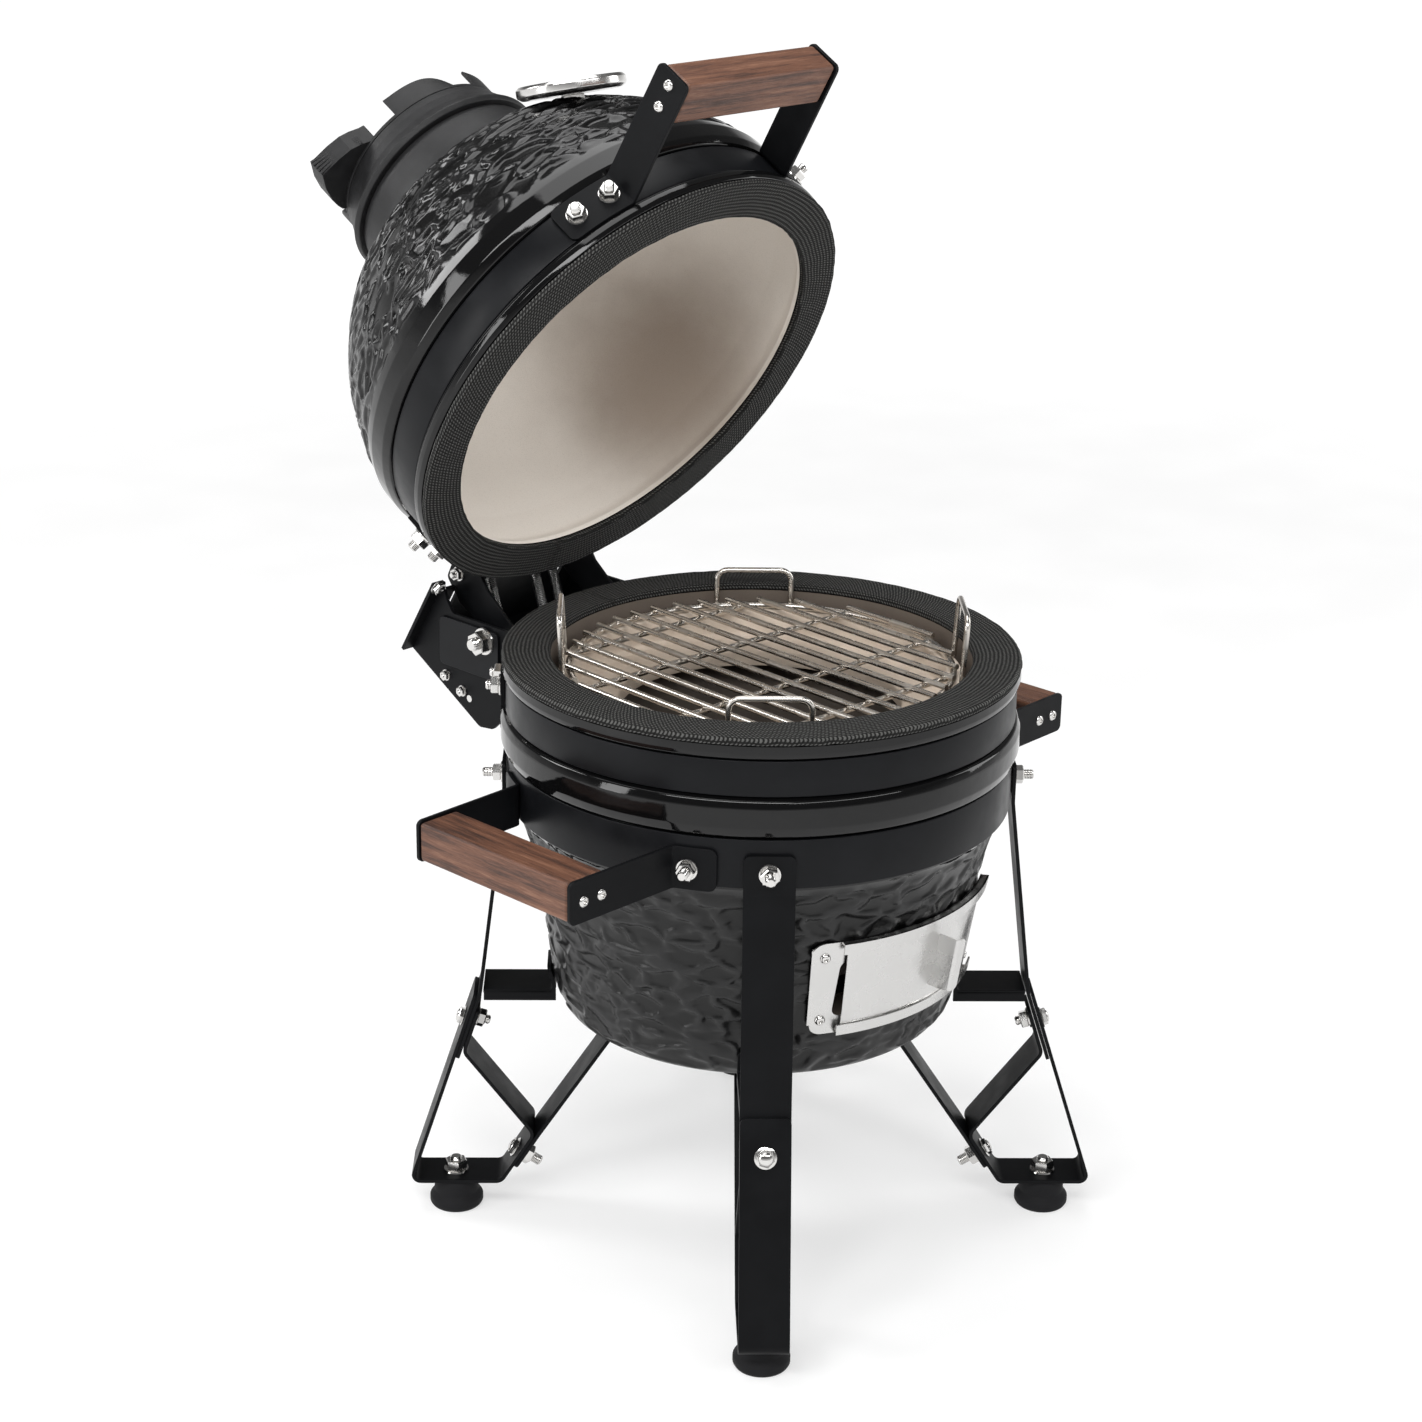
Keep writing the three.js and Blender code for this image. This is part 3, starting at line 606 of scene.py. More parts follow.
def note_places(mesh, wrap=None):
    """Stores each vertex's place in the drawing, and for turned pieces its place on the unrolled skin."""
    count = len(mesh.vertices)
    places = np.empty(count * 3, np.float32)
    mesh.vertices.foreach_get("co", places)
    mesh.attributes.new("at", "FLOAT_VECTOR", "POINT").data.foreach_set("vector", places)
    if wrap:
        at = places.reshape(-1, 3)
        around = np.arctan2(at[:, 0], -at[:, 1]) * wrap
        out = np.hypot(at[:, 0], at[:, 1])
        skin = np.stack([around, out + at[:, 2], at[:, 2]], axis=1).astype(np.float32)
        mesh.attributes.new("wrap", "FLOAT_VECTOR", "POINT").data.foreach_set("vector", skin.ravel())


def carved(target, cutters):
    """Cuts closed shapes, drawn in millimetres, out of a shape. Returns the new shape."""
    body = linked("carve", clean_mesh("carve", target))
    for _ in range(max(target.zones) + 1):
        body.data.materials.append(None)
    tools = [linked("carve", clean_mesh("carve", cutter)) for cutter in cutters]
    for tool in tools:
        cutting = body.modifiers.new("cut", "BOOLEAN")
        cutting.operation = "DIFFERENCE"
        cutting.solver = "EXACT"
        cutting.object = tool
    bpy.context.view_layer.update()
    result = body.evaluated_get(bpy.context.evaluated_depsgraph_get()).to_mesh()
    verts = [tuple(v.co) for v in result.vertices]
    faces = [tuple(p.vertices) for p in result.polygons]
    zones = [min(p.material_index, max(target.zones)) for p in result.polygons]
    for made in [body, *tools]:
        old = made.data
        bpy.data.objects.remove(made)
        bpy.data.meshes.remove(old)
    return Shape(verts, faces, zones)


# ---- fasteners ----
def hex_prism(across, low, high, chamfer=0.6):
    def hexagon(scale):
        return [(across / sqrt(3) * scale * cos(pi / 3 * k), across / sqrt(3) * scale * sin(pi / 3 * k))
                for k in range(6)]
    inset = 1 - 2 * chamfer / across
    rings = [(low, inset), (low + chamfer, 1), (high - chamfer, 1), (high, inset)]
    return swept([(x, y, z) for z, scale in rings for x, y in hexagon(scale)], 6)


def threaded(radius, low, high, pitch=1.25):
    """A threaded bolt end with a chamfered tip."""
    profile = [(0, low), (radius, low)]
    z = low
    while z + pitch < high - 1:
        profile += [(radius - 0.1, z + 0.2 * pitch), (radius - 0.55, z + 0.6 * pitch), (radius, z + pitch)]
        z += pitch
    profile += [(radius - 0.2, high - 1), (radius - 1.1, high), (0, high)]
    return lathe(profile, 20, closed=False)


def nut_and_tip(size=4.0, tip=13.0):
    """Washer, nut and the end of a bolt, standing on z = 0. Size is the bolt's radius."""
    washer = lathe([(size, 0), (size * 2.05, 0), (size * 2.15, 0.35), (size * 2.05, 1.5), (size, 1.5)], 28)
    across = size * 3.25
    return washer + hex_prism(across, 1.5, 1.5 + size * 1.6, 0.8) + threaded(size, 0, tip)


def domed_hex(size=4.0):
    """Flange head with a low dome over a hexagon."""
    seat = [(0, 0), (size * 2.1, 0), (size * 2.15, 0.7), (size * 1.7, 1.6), (0, 1.6)]
    dome = lathe([(0, 0), (size * 1.5, 0), (size * 1.5, size * 0.9), (size * 1.2, size * 1.35),
                  (size * 0.7, size * 1.55), (0, size * 1.62)], 24, closed=False)
    return lathe(seat, 28, closed=False) + hex_prism(size * 3.1, 1.0, size * 1.15, 0.5) + dome


def button_screw(size=4.6):
    """Button head with a hexagon socket."""
    profile = [(0, -0.6), (size, -0.6), (size, 0.5), (size * 0.93, 1.4), (size * 0.72, 2.2),
               (size * 0.48, 2.55), (size * 0.44, 2.5), (size * 0.42, 0.9), (0, 0.8)]
    return lathe(profile, 24, closed=False)


def fastener(name, shape, point, direction, body="base", place=BASE):
    return piece(name, shape.at(facing(point, direction)), CHROME, body, place, smooth=40)


# ---- ceramic base ----
def wrinkle_skin(made, height):
    """Lifts the skin by the wrinkles' relief, in metres, where the rough attribute is 1."""
    tree = bpy.data.node_groups.new(f"wrinkles_{height}", "GeometryNodeTree")
    tree.interface.new_socket("Geometry", in_out="INPUT", socket_type="NodeSocketGeometry")
    tree.interface.new_socket("Geometry", in_out="OUTPUT", socket_type="NodeSocketGeometry")
    start = tree.nodes.new("NodeGroupInput")
    finish = tree.nodes.new("NodeGroupOutput")
    relief = wrinkles(tree, skin_socket(tree, geometry=True))
    rough = node(tree, "GeometryNodeInputNamedAttribute", _set={"data_type": "FLOAT"}, Name="rough")
    amount = node(tree, "ShaderNodeMath", _set={"operation": "MULTIPLY"}, i0=relief, i1=rough)
    scaled = node(tree, "ShaderNodeMath", _set={"operation": "MULTIPLY"}, i0=amount, i1=height)
    normal = node(tree, "GeometryNodeInputNormal")
    offset = node(tree, "ShaderNodeVectorMath", _set={"operation": "SCALE"}, i0=normal, Scale=scaled)
    lifted = node(tree, "GeometryNodeSetPosition", Geometry=start.outputs[0], Offset=offset)
    tree.links.new(lifted, finish.inputs[0])
    made.modifiers.new("wrinkles", "NODES").node_group = tree


def roughness_mask(low, high, fade, wall, meridian):
    """Marks the outside vertices between two heights as rough, fading out at both ends."""
    def mark(mesh):
        values = mesh.attributes.new("rough", "FLOAT", "POINT").data
        skin = mesh.attributes.new("skin", "FLOAT_VECTOR", "POINT").data
        for vertex in mesh.vertices:
            x, y, z = vertex.co
            outside = math.hypot(x, y) > wall(z)
            amount = min(1, max(0, (z - low) / fade)) * min(1, max(0, (high - z) / fade))
            values[vertex.index].value = amount if outside else 0.0
            skin[vertex.index].vector = (x, y, WRINKLE_STRETCH * meridian(math.hypot(x, y), z))
    return mark


WRINKLE_STRETCH = 2.0         # how much longer the wrinkles are round the shell than along it
BOWL_SIDE = [(136, 195.6), (151, 198.5), (158, 204), (164, 226), (171, 275), (183, 340), (191, 366)]
WINDOW_AZ = (-28.2, 20.4)       # degrees from the front
WINDOW_Z = (252, 306)
BOWL_STEP = 0.6                # degrees between the bowl's columns; the window's sides lie on columns


def with_heights(path, heights):
    """Adds a point at each of the heights to a 2-D path that crosses it."""
    result = [path[0]]
    for start, end in zip(path, path[1:]):
        low, high = sorted((start.y, end.y))
        for height in sorted(heights, reverse=end.y < start.y):
            if low + 0.01 < height < high - 0.01:
                result.append(start.lerp(end, (height - start.y) / (end.y - start.y)))
        result.append(end)
    return result


def windowed(shape, profile, segments):
    """Opens the window in a turned wall and lines its edges."""
    rows = len(profile)
    first = round(WINDOW_AZ[0] / BOWL_STEP)
    last = round(WINDOW_AZ[1] / BOWL_STEP)
    columns = [i % segments for i in range(first, last + 1)]
    inside = [WINDOW_Z[0] - 0.01 < p.y < WINDOW_Z[1] + 0.01 and p.x > 100 for p in profile]
    runs = []
    for k in range(rows):
        if inside[k] and not inside[k - 1]:
            runs.append([k])
        elif inside[k]:
            runs[-1].append(k)
    outer, inner = runs
    dropped = {(i, k) for i in columns[:-1] for run in runs for k in run[:-1]}
    kept = [n for n in range(len(shape.faces)) if (n // (rows - 1), n % (rows - 1)) not in dropped]
    faces = [shape.faces[n] for n in kept]
    zones = [shape.zones[n] for n in kept]
    for out_row, in_row in ((outer[0], inner[-1]), (outer[-1], inner[0])):
        for i, j in zip(columns, columns[1:]):
            faces.append((i * rows + out_row, j * rows + out_row, j * rows + in_row, i * rows + in_row))
            zones.append(2)
    for i in (columns[0], columns[-1]):
        faces.append(tuple(i * rows + k for k in outer + inner))
        zones.append(2)
    return Shape(shape.verts, faces, zones)


def bowl_middle(height):
    """Radius halfway through the bowl's wall at a height."""
    return 156 + (height - 200) * 0.17


def bowl_meridian(radius, height):
    """Distance up along the bowl's side."""
    return height + (170 - radius) * 0.3


def bowl():
    side = smooth_path(BOWL_SIDE)
    skin = with_heights(resampled(side, 2.2), WINDOW_Z)
    shoulder = fillet([(191, 366, 0), (196, 372.5, 2), (197.5, 376, 0), (197.5, 415.5, 0), (203.4, 418.4, 3),
                       (206, 426, 6), (206, 441, 6), (203.6, 446.6, 3), (199, 448.6, 2), (199, 478.2, 1.5),
                       (203.8, 479.6, 2.5), (204.8, 484, 3), (204.2, 489.6, 1)], 2, 4)
    inside = fillet([(167, 489.6, 1), (169, 465, 10), (165, 380, 30), (150, 290, 30), (120, 222, 20),
                     (0, 219.5, 0)], 4, 4)
    profile = [Vector((0, 195.6))] + skin + shoulder[1:] + with_heights(inside, WINDOW_Z)
    zones = []
    for k, (a, b) in enumerate(zip(profile, profile[1:])):
        middle = (a + b) / 2
        if k <= len(skin) - 1:
            zones.append(0 if k else 1)
        else:
            zones.append(1 if middle.x > 185 else 2)
    segments = round(360 / BOWL_STEP)
    shape = windowed(lathe(profile, segments, closed=False, zones=zones), profile, segments)
    made = piece("bowl_shell", shape, [BOWL_GLAZE, GLOSS_GLAZE, SOOT], replaces="base_bowl", smooth=50,
                 detail=roughness_mask(200, 370, 8, bowl_middle, bowl_meridian))
    wrinkle_skin(made, 0.0018)


def smooth_path(points, steps=6):
    """A Catmull-Rom curve through 2-D points."""
    points = [Vector(p) for p in points]
    path = [points[0]]
    for i in range(len(points) - 1):
        p0 = points[max(i - 1, 0)]
        p1, p2 = points[i], points[i + 1]
        p3 = points[min(i + 2, len(points) - 1)]
        for k in range(1, steps + 1):
            t = k / steps
            path.append(0.5 * ((2 * p1) + (p2 - p0) * t + (2 * p0 - 5 * p1 + 4 * p2 - p3) * t * t
                               + (3 * p1 - p0 - 3 * p2 + p3) * t ** 3))
    return path


def frayed(amount, seed):
    """Uneven edges of a woven strip."""
    def move(mesh):
        for vertex in mesh.vertices:
            at = vertex.co
            push = noise.noise_vector(at * 0.11 + Vector((seed, 0, 0))) * amount
            push += noise.noise_vector(at * 0.6 + Vector((seed, 7, 0))) * amount * 0.5
            vertex.co = at + Vector((push.x, push.y, push.z * 0.35))
    return move


def ring_section(inner, outer, low, high, radii):
    """A ring's section with its four corners rounded, anticlockwise from the lower inner one."""
    rounded = [(*corner, radius) for corner, radius in zip(corners(inner, outer, low, high), radii)]
    return fillet(rounded, 1, 3, closed=True)


def gasket(name, low, high, inner, outer, **placing):
    profile = ring_section(inner, outer, low, high, (1.2, 1.2, 2.4, 2.4))
    profile = resampled(profile + [profile[0]], 3.0)[:-1]
    return piece(name, lathe(profile, 360), FELT, smooth=60, wrap=185, detail=frayed(0.55, inner), **placing)


def band(name, low, high, inner, outer, **placing):
    profile = ring_section(inner, outer, low, high, (0.3, 0.8, 0.8, 0.3))
    return piece(name, lathe(profile, 192), BAND_PAINT, **placing)


bowl()
gasket("rim_gasket", RIM - 5.9, RIM - 0.4, 166.2, 204.8, replaces="base_gasket")
band("hinge_band_ring", *HINGE_BAND, 199.4, BAND_OUTER, replaces="base_hinge_band")
band("stand_band_ring", *STAND_BAND, 197.9, STAND_BAND_OUTER, replaces="base_stand_band")


# ---- fire ring, firebox and charcoal grate ----
def fire_ring():
    profile = fillet([(112, 441, 1), (160, 441, 2), (160, 478, 2), (147.3, 478, 2), (147, 457, 3),
                      (141, 455, 2), (112, 455, 2.5)], 2, 3, closed=True)
    piece("fire_ring_lining", lathe(profile, 144), BASE_CLAY, replaces="fire_ring")


def firebox():
    profile = fillet([(0, 232.5, 0), (108, 232.5, 4), (145, 300, 20), (156.6, 380, 20), (156.6, 440, 1),
                      (138, 440, 1), (134, 370, 20), (108, 256, 6), (0, 256, 0)], 3, 3)
    holes = [disc(16, 200, 290, 24)]
    for k in range(4):
        holes.append(disc(12, 200, 290, 20).at(Matrix.Translation(polar(62, k * 90 + 45))))
    gate = extrude(corners(-46, 46, 262, 299), -180, -90).swapped()
    shape = carved(lathe(profile, 96, closed=False), [*holes, gate])
    piece("firebox_pot", shape, SOOT, replaces="firebox", smooth=45)


def grate():
    shape = lathe(corners(101, 107, 268, 276), 96)
    for i in range(-3, 4):
        half = sqrt(104 ** 2 - (i * 27) ** 2)
        shape = shape + box((i * 27 - 4, i * 27 + 4), (-half, half), (268.2, 275.8))
    piece("coal_grate", shape, GRATE_IRON, replaces="charcoal_grate", bevel=0.8)


fire_ring()
firebox()
grate()

# ---- cooking grid ----
GRID_TOP = 488
GRID_TURN = -3.5
ROD = 2.4


def cooking_grid():
    upper = GRID_TOP - ROD
    lower = upper - 2 * ROD + 0.3
    shape = ring_tube(151.6, lower, 2.9)
    for i in range(-7, 8):
        x = i * 21
        half = sqrt(155 ** 2 - x ** 2) - 1
        shape = shape + tube([(x, y, upper) for y in (-half, -half / 3, half / 3, half)], ROD, 12)
    for y in (-117, -47, 47, 117):
        half = sqrt(152 ** 2 - y ** 2)
        shape = shape + tube([(x, y, lower) for x in (-half, 0, half)], ROD, 12)
    piece("grid_wires", shape.turn(GRID_TURN), ROD_STEEL, "cooking_grid", replaces="cooking_grid", smooth=50)
    for name, angle in LEGS.items():
        half, foot = 31, -9
        top = 42 if name in ("front_right", "rear_left") else 22
        path = fillet([(-half, foot), (-half, top), (half, top), (half, foot)], 9, 6)
        loop = tube([(p.x, 0, p.y) for p in path], 2.3, 12)
        lean = Matrix.Rotation(radians(3), 4, "X")
        loop = loop.at(Matrix.Translation((0, -156.4, GRID_TOP)) @ lean).turn(angle)
        piece(f"grid_loop_{name}", loop, ROD_STEEL, "cooking_grid", replaces=f"grid_handle_{name}", smooth=50)


def ring_tube(radius, height, thickness, segments=120, sides=12):
    profile = [(radius + thickness * cos(2 * pi * k / sides), height + thickness * sin(2 * pi * k / sides))
               for k in range(sides)]
    return lathe(profile, segments)


cooking_grid()

# ---- vent door at the front ----
TRACK_LOW, TRACK_HIGH = 239, 321
TRACK_LEAN = 0.165             # how far the bowl's side goes out for each millimetre of height
TRACK_HALF = 34                # degrees from the front to either end of the frame


def track_radius(height):
    return 168 + (height - TRACK_LOW) * TRACK_LEAN


def cone_shell(inner, outer, low, high, start, end, segments=64):
    profile = [(track_radius(low) + inner, low), (track_radius(low) + outer, low),
               (track_radius(high) + outer, high), (track_radius(high) + inner, high)]
    return lathe(profile, segments, start, end)


def front_prism(outline, near=-240, far=-90):
    """A prism along Y from an outline of [x, z] points."""
    return extrude(outline, near, far).swapped()


def track():
    plate = cone_shell(0.3, 1.6, TRACK_LOW, TRACK_HIGH, -TRACK_HALF, TRACK_HALF)
    corner = 9
    x0, x1 = (174 * sin(radians(a)) for a in WINDOW_AZ)
    opening = corners(x0 + 2, x1 - 2, WINDOW_Z[0] + 2, WINDOW_Z[1] - 2)
    cutters = [front_prism(fillet(opening, 7, 4, closed=True))]
    for side, up in ((-1, -1), (1, -1), (1, 1), (-1, 1)):
        z = TRACK_LOW if up < 0 else TRACK_HIGH
        x = side * track_radius(z) * sin(radians(TRACK_HALF))
        arc = [(x - side * corner * (1 - cos(a)), z - up * corner * (1 - sin(a)))
               for a in (pi / 2 * k / 6 for k in range(7))]
        cutters.append(front_prism([(x + side * 12, z - up * corner), *arc, (x - side * corner, z + up * 12),
                                    (x + side * 12, z + up * 12)]))
    shape = carved(plate, cutters)
    for low, high, lip_low, lip_high in ((TRACK_LOW, TRACK_LOW + 1.6, TRACK_LOW, TRACK_LOW + 9),
                                         (TRACK_HIGH - 1.6, TRACK_HIGH, TRACK_HIGH - 9, TRACK_HIGH)):
        shape = shape + cone_shell(0.4, 7.3, low, high, -26.6, 31)
        shape = shape + cone_shell(5.8, 7.4, lip_low, lip_high, -26.6, 31)
    piece("vent_frame", shape, STEEL, replaces="vent_track", bevel=0.4, smooth=30)
    for degrees in (-30.6, 29.2):
        for height in (252, 308):
            radius = track_radius(height) + 1.6
            slope = Vector(polar(1, degrees)) - Vector((0, 0, TRACK_LEAN))
            head = button_screw(4.2) if degrees < 0 else button_screw(3.4)
            fastener(f"vent_screw_{'left' if degrees < 0 else 'right'}_{height}",
                     head, polar(radius, degrees, height), slope)


def door():
    """The sliding panel and its bent tab, which leans with the panel."""
    low, high = TRACK_LOW + 2.4, TRACK_HIGH - 2.4
    shape = cone_shell(4.2, 5.5, low, high, -25.4, 22.8)
    piece("vent_panel", shape, STEEL, "vent_door", replaces="vent_door", bevel=0.3, smooth=30)
    path = fillet([(0, 4.6), (0, 23.8), (8.6, 23.8)], 3.0, 6)
    strip = ribbon(path, 1.6, 46, rounding=(0, 5))
    leaned = []
    for x, y, z in strip.verts:
        height = 282 + y
        leaned.append((x, -(track_radius(height) + z), height))
    piece("vent_tab", Shape(leaned, strip.faces).turn(3), STEEL, "vent_door", bevel=0.3, smooth=30)


def outward(degrees, slope):
    """The outward normal of a plate that leans outwards by slope as it goes down."""
    return (polar(1, degrees) + Vector((0, 0, slope))).normalized()


track()
door()

# ---- stand ----
STRAP_FACE = 204.6
KNEE, BEND, STRAP_END = 372, 203, 142
UPPER_SLOPE, LOWER_SLOPE = 0.125, 0.324
LOOP_TOP = 201
SPLICE_HEIGHT = 173
BEND_FACE = STRAP_FACE + UPPER_SLOPE * (KNEE - BEND)
FOOT_PLATE = 27.3
FOOT_RADIUS = 247.3
FLAT_END = 209                 # where a foot frame's flat part ends
CORNER = (181, 73)             # the foot frame's inner corner
BAND_BOLT_HEIGHT = 389.4
SLANT = SHEET * math.hypot(1, LOWER_SLOPE)
GAP = 0.3


def lower_face(height):
    return BEND_FACE + LOWER_SLOPE * (BEND - height)


def leg_straps(name, degrees):
    middle = SHEET / 2
    strap = fillet([(STRAP_FACE - middle, 404), (STRAP_FACE - middle, KNEE), (BEND_FACE - middle, BEND),
                    (lower_face(STRAP_END) - middle, STRAP_END)], 22, 6)
    shape = radial(ribbon(strap, SHEET, STRAP, rounding=(5, 5)), degrees)
    piece(f"strap_{name}", shape, STRAP_PAINT, replaces=f"leg_strap_{name}", bevel=0.45)
    floor_line = FOOT_PLATE + middle
    outer = [(lower_face(z) + GAP + SLANT / 2, z) for z in (LOOP_TOP, floor_line)]
    inner = [(lower_face(z) - SLANT - GAP - SLANT / 2, z) for z in (149, 186)]
    route = [outer[0], (*outer[1], 6), (FLAT_END, floor_line, 8), (*CORNER, 9), (*inner[0], 8), inner[1]]
    shape = radial(ribbon(fillet(route, 6, 7), SHEET, STRAP, rounding=(5, 5)), degrees)
    piece(f"foot_loop_{name}", shape, STRAP_PAINT, replaces=f"foot_frame_{name}", bevel=0.45)


def support_bar(name, degrees):
    """The short bar under the bowl's edge, with a flange along each side."""
    middle = SHEET / 2
    bar_top, bar_end = 206.5, 162.5
    inside = STRAP_FACE + UPPER_SLOPE * (KNEE - bar_top) - SHEET - GAP
    bar = fillet([(inside - 0.3, bar_top - middle), (bar_end, bar_top - middle), (168.3, 226)], 4, 5)
    shape = ribbon(bar, SHEET, STRAP, rounding=(0, 5))
    for side in (-1, 1):
        y = side * (STRAP / 2 - middle)
        shape = shape + box((bar_end, inside - 0.6), (y - middle, y + middle), (196.6, bar_top - 0.6))
    piece(f"bar_{name}", radial(shape, degrees), STRAP_PAINT, replaces=f"support_bar_{name}", bevel=0.6)


def rubber_foot(name, degrees):
    top = FOOT_PLATE - 0.4
    profile = fillet([(0, 0), (20.6, 0, 2), (22.3, 3, 1.5), (22.3, 8, 3), (18.6, 13, 3), (18, top, 1),
                      (0, top)], 1, 4)
    foot = lathe(profile, 48, closed=False).at(Matrix.Translation(polar(FOOT_RADIUS, degrees)))
    piece(f"foot_{name}", foot, RUBBER, replaces=f"rubber_foot_{name}", smooth=50)
    plate_top = polar(FOOT_RADIUS, degrees, FOOT_PLATE + SHEET)
    fastener(f"foot_nut_{name}", nut_and_tip(5, 12.5), plate_top, (0, 0, 1))


def leg_bolts(name, degrees):
    head = polar(STRAP_FACE, degrees, BAND_BOLT_HEIGHT)
    fastener(f"band_nut_{name}", nut_and_tip(4, 16.2), head, polar(1, degrees))
    normal = outward(degrees, LOWER_SLOPE)
    face = polar(lower_face(SPLICE_HEIGHT) + GAP + SLANT, degrees, SPLICE_HEIGHT)
    fastener(f"splice_bolt_{name}", domed_hex(4), face, normal)
    back = polar(lower_face(SPLICE_HEIGHT) - 2 * SLANT - GAP, degrees, SPLICE_HEIGHT)
    fastener(f"splice_nut_{name}", nut_and_tip(4, 12), back, -normal)


CROSS_SLOPE = (FLAT_END - CORNER[0]) / (CORNER[1] - FOOT_PLATE - SHEET / 2)


def cross_strap(name, degrees, level):
    top = 194.5 - SHEET / 2 - level * (SHEET + GAP)
    offset = (SHEET + GAP) * math.hypot(1, CROSS_SLOPE)

    def run(height):
        return CORNER[0] + CROSS_SLOPE * (CORNER[1] - height) - offset
    half = [(98 + level * 1.6, top), (run(CORNER[1]), CORNER[1]), (run(41), 41)]
    route = [(-x, z) for x, z in reversed(half)] + half
    shape = radial(ribbon(fillet(route, 14, 6), SHEET, STRAP, rounding=(5, 5)), degrees)
    piece(f"long_strap_{name}", shape, STRAP_PAINT, replaces=f"cross_strap_{name}", bevel=0.45)


def brace_bolts(name, degrees):
    height = 50
    brace = polar(CORNER[0] + CROSS_SLOPE * (CORNER[1] - height), degrees, height)
    inward = -outward(degrees, CROSS_SLOPE)
    fastener(f"brace_nut_{name}", nut_and_tip(4.5, 18), brace + inward * 4.8, inward)
    fastener(f"brace_bolt_{name}", domed_hex(4), brace - inward * 1.5, -inward)


for leg_name, leg_angle in LEGS.items():
    for part_of_leg in (leg_straps, support_bar, rubber_foot, leg_bolts, brace_bolts):
        part_of_leg(leg_name, leg_angle)
cross_strap("a", LEGS["front_left"], 0)
cross_strap("b", LEGS["front_right"], 1)


# ---- wooden grips and their arms ----
def plan_strip(path, thickness, low, high, rounding=(0, 0)):
    """A bent strip drawn in plan, standing between two heights."""
    strip = ribbon(path, thickness, high - low, rounding)
    return Shape([(v[0], v[2], v[1] + (low + high) / 2) for v in strip.verts], strip.faces)


SIDE_NUT = radians(27.7)        # from the grill's side to the nut of a side arm


def side_handle(name, side):
    grip = box(sorted((side * 252, side * 289)), (-GRIP_HALF, GRIP_HALF), (375, 406))
    piece(f"grip_{name}", grip, WALNUT_Y, replaces=f"side_grip_{name}", bevel=3.2, bevel_segments=4)
    for end, end_name in ((-1, "front"), (1, "rear")):
        y = end * (GRIP_HALF + GAP + SHEET / 2)
        radius = STAND_BAND_OUTER + 0.5 + SHEET / 2
        start = math.degrees(math.asin(abs(y) / radius))
        turns = [radians(start + 0.6 + k * 2.4) for k in range(5)]
        route = [(side * 289.4, y)] + [(side * radius * cos(a), end * radius * sin(a)) for a in turns]
        route[1] = (*route[1], 5)
        shape = plan_strip(fillet(route, 5, 5), SHEET, 373, 407, (5, 6))
        part = f"{name}_{end_name}"
        piece(f"arm_{part}", shape, STRAP_PAINT, replaces=f"side_arm_{part}", bevel=0.45)
        out = Vector((side * cos(SIDE_NUT), end * sin(SIDE_NUT), 0))
        face = out * (radius + SHEET / 2) + Vector((0, 0, BAND_BOLT_HEIGHT))
        fastener(f"side_nut_{part}", nut_and_tip(4, 15), face, out)
        for x in (276, 258):
            fastener(f"side_screw_{part}_{x}", button_screw(),
                     (side * x, y + end * SHEET / 2, 389.6), (0, end, 0))


side_handle("left", -1)
side_handle("right", 1)


def lid_handle():
    grip = box((-GRIP_HALF, GRIP_HALF), (-290.5, -256.5), (LID_RIM + 19, LID_RIM + 47.5))
    piece("grip_lid", grip, WALNUT_X, "lid", LID, replaces="lid_grip", bevel=3.2, bevel_segments=4)
    for side, name in ((-1, "left"), (1, "right")):
        x = side * (GRIP_HALF + GAP + SHEET / 2)
        radius = BAND_OUTER + 0.5 + SHEET / 2
        start = math.degrees(math.asin(abs(x) / radius))
        turns = [radians(start + 0.6 + k * 2.6) for k in range(7)]
        route = [(x, -291)] + [(side * radius * sin(a), -radius * cos(a)) for a in turns]
        route[1] = (*route[1], 5)
        shape = plan_strip(fillet(route, 5, 5), SHEET, LID_RIM + 17.5, LID_RIM + 50.5, (5, 6))
        piece(f"arm_lid_{name}", shape, STRAP_PAINT, "lid", LID, replaces=f"lid_arm_{name}", bevel=0.45)
        for number, degrees in ((1, 27.2), (2, 35.5)):
            face = polar(radius + SHEET / 2, side * degrees, LID_RIM + 34.5)
            fastener(f"lid_nut_{name}_{number}", nut_and_tip(4, 13), face,
                     polar(1, side * degrees), "lid", LID)
        for y in (-281, -262):
            fastener(f"lid_screw_{name}_{-y}", button_screw(), (x + side * SHEET / 2, y, LID_RIM + 34),
                     (side, 0, 0), "lid", LID)


lid_handle()

# ---- hinge ----
ANCHOR = (252, 408)
UPPER_ANCHOR = (223, 532.5)


STOP_TOP, STOP_FOOT = (285, 504), (326, 437)      # ends of the hinge's sloping rear edge, as (y, z)
STOP_NORMAL = (0.853, 0.522)                      # the direction that this edge faces
CHEEK = 83.5                                      # half the distance between the cheeks' outer faces
REAR_FACE = BAND_OUTER + 3.5
BASE_NUT_ANGLES, LID_NUT_ANGLES = (135, 143), (140.5, 150)


def rear_plate(low, high, half):
    return lathe(corners(BAND_OUTER + 0.5, REAR_FACE, low, high), 40, 180 - half, 180 + half)


def stop_line(height, inset=0.0):
    """Place on the hinge's sloping rear edge, or inset from it towards the grill."""
    along = (height - STOP_TOP[1]) / (STOP_FOOT[1] - STOP_TOP[1])
    return (STOP_TOP[0] + (STOP_FOOT[0] - STOP_TOP[0]) * along - STOP_NORMAL[0] * inset,
            height - STOP_NORMAL[1] * inset)


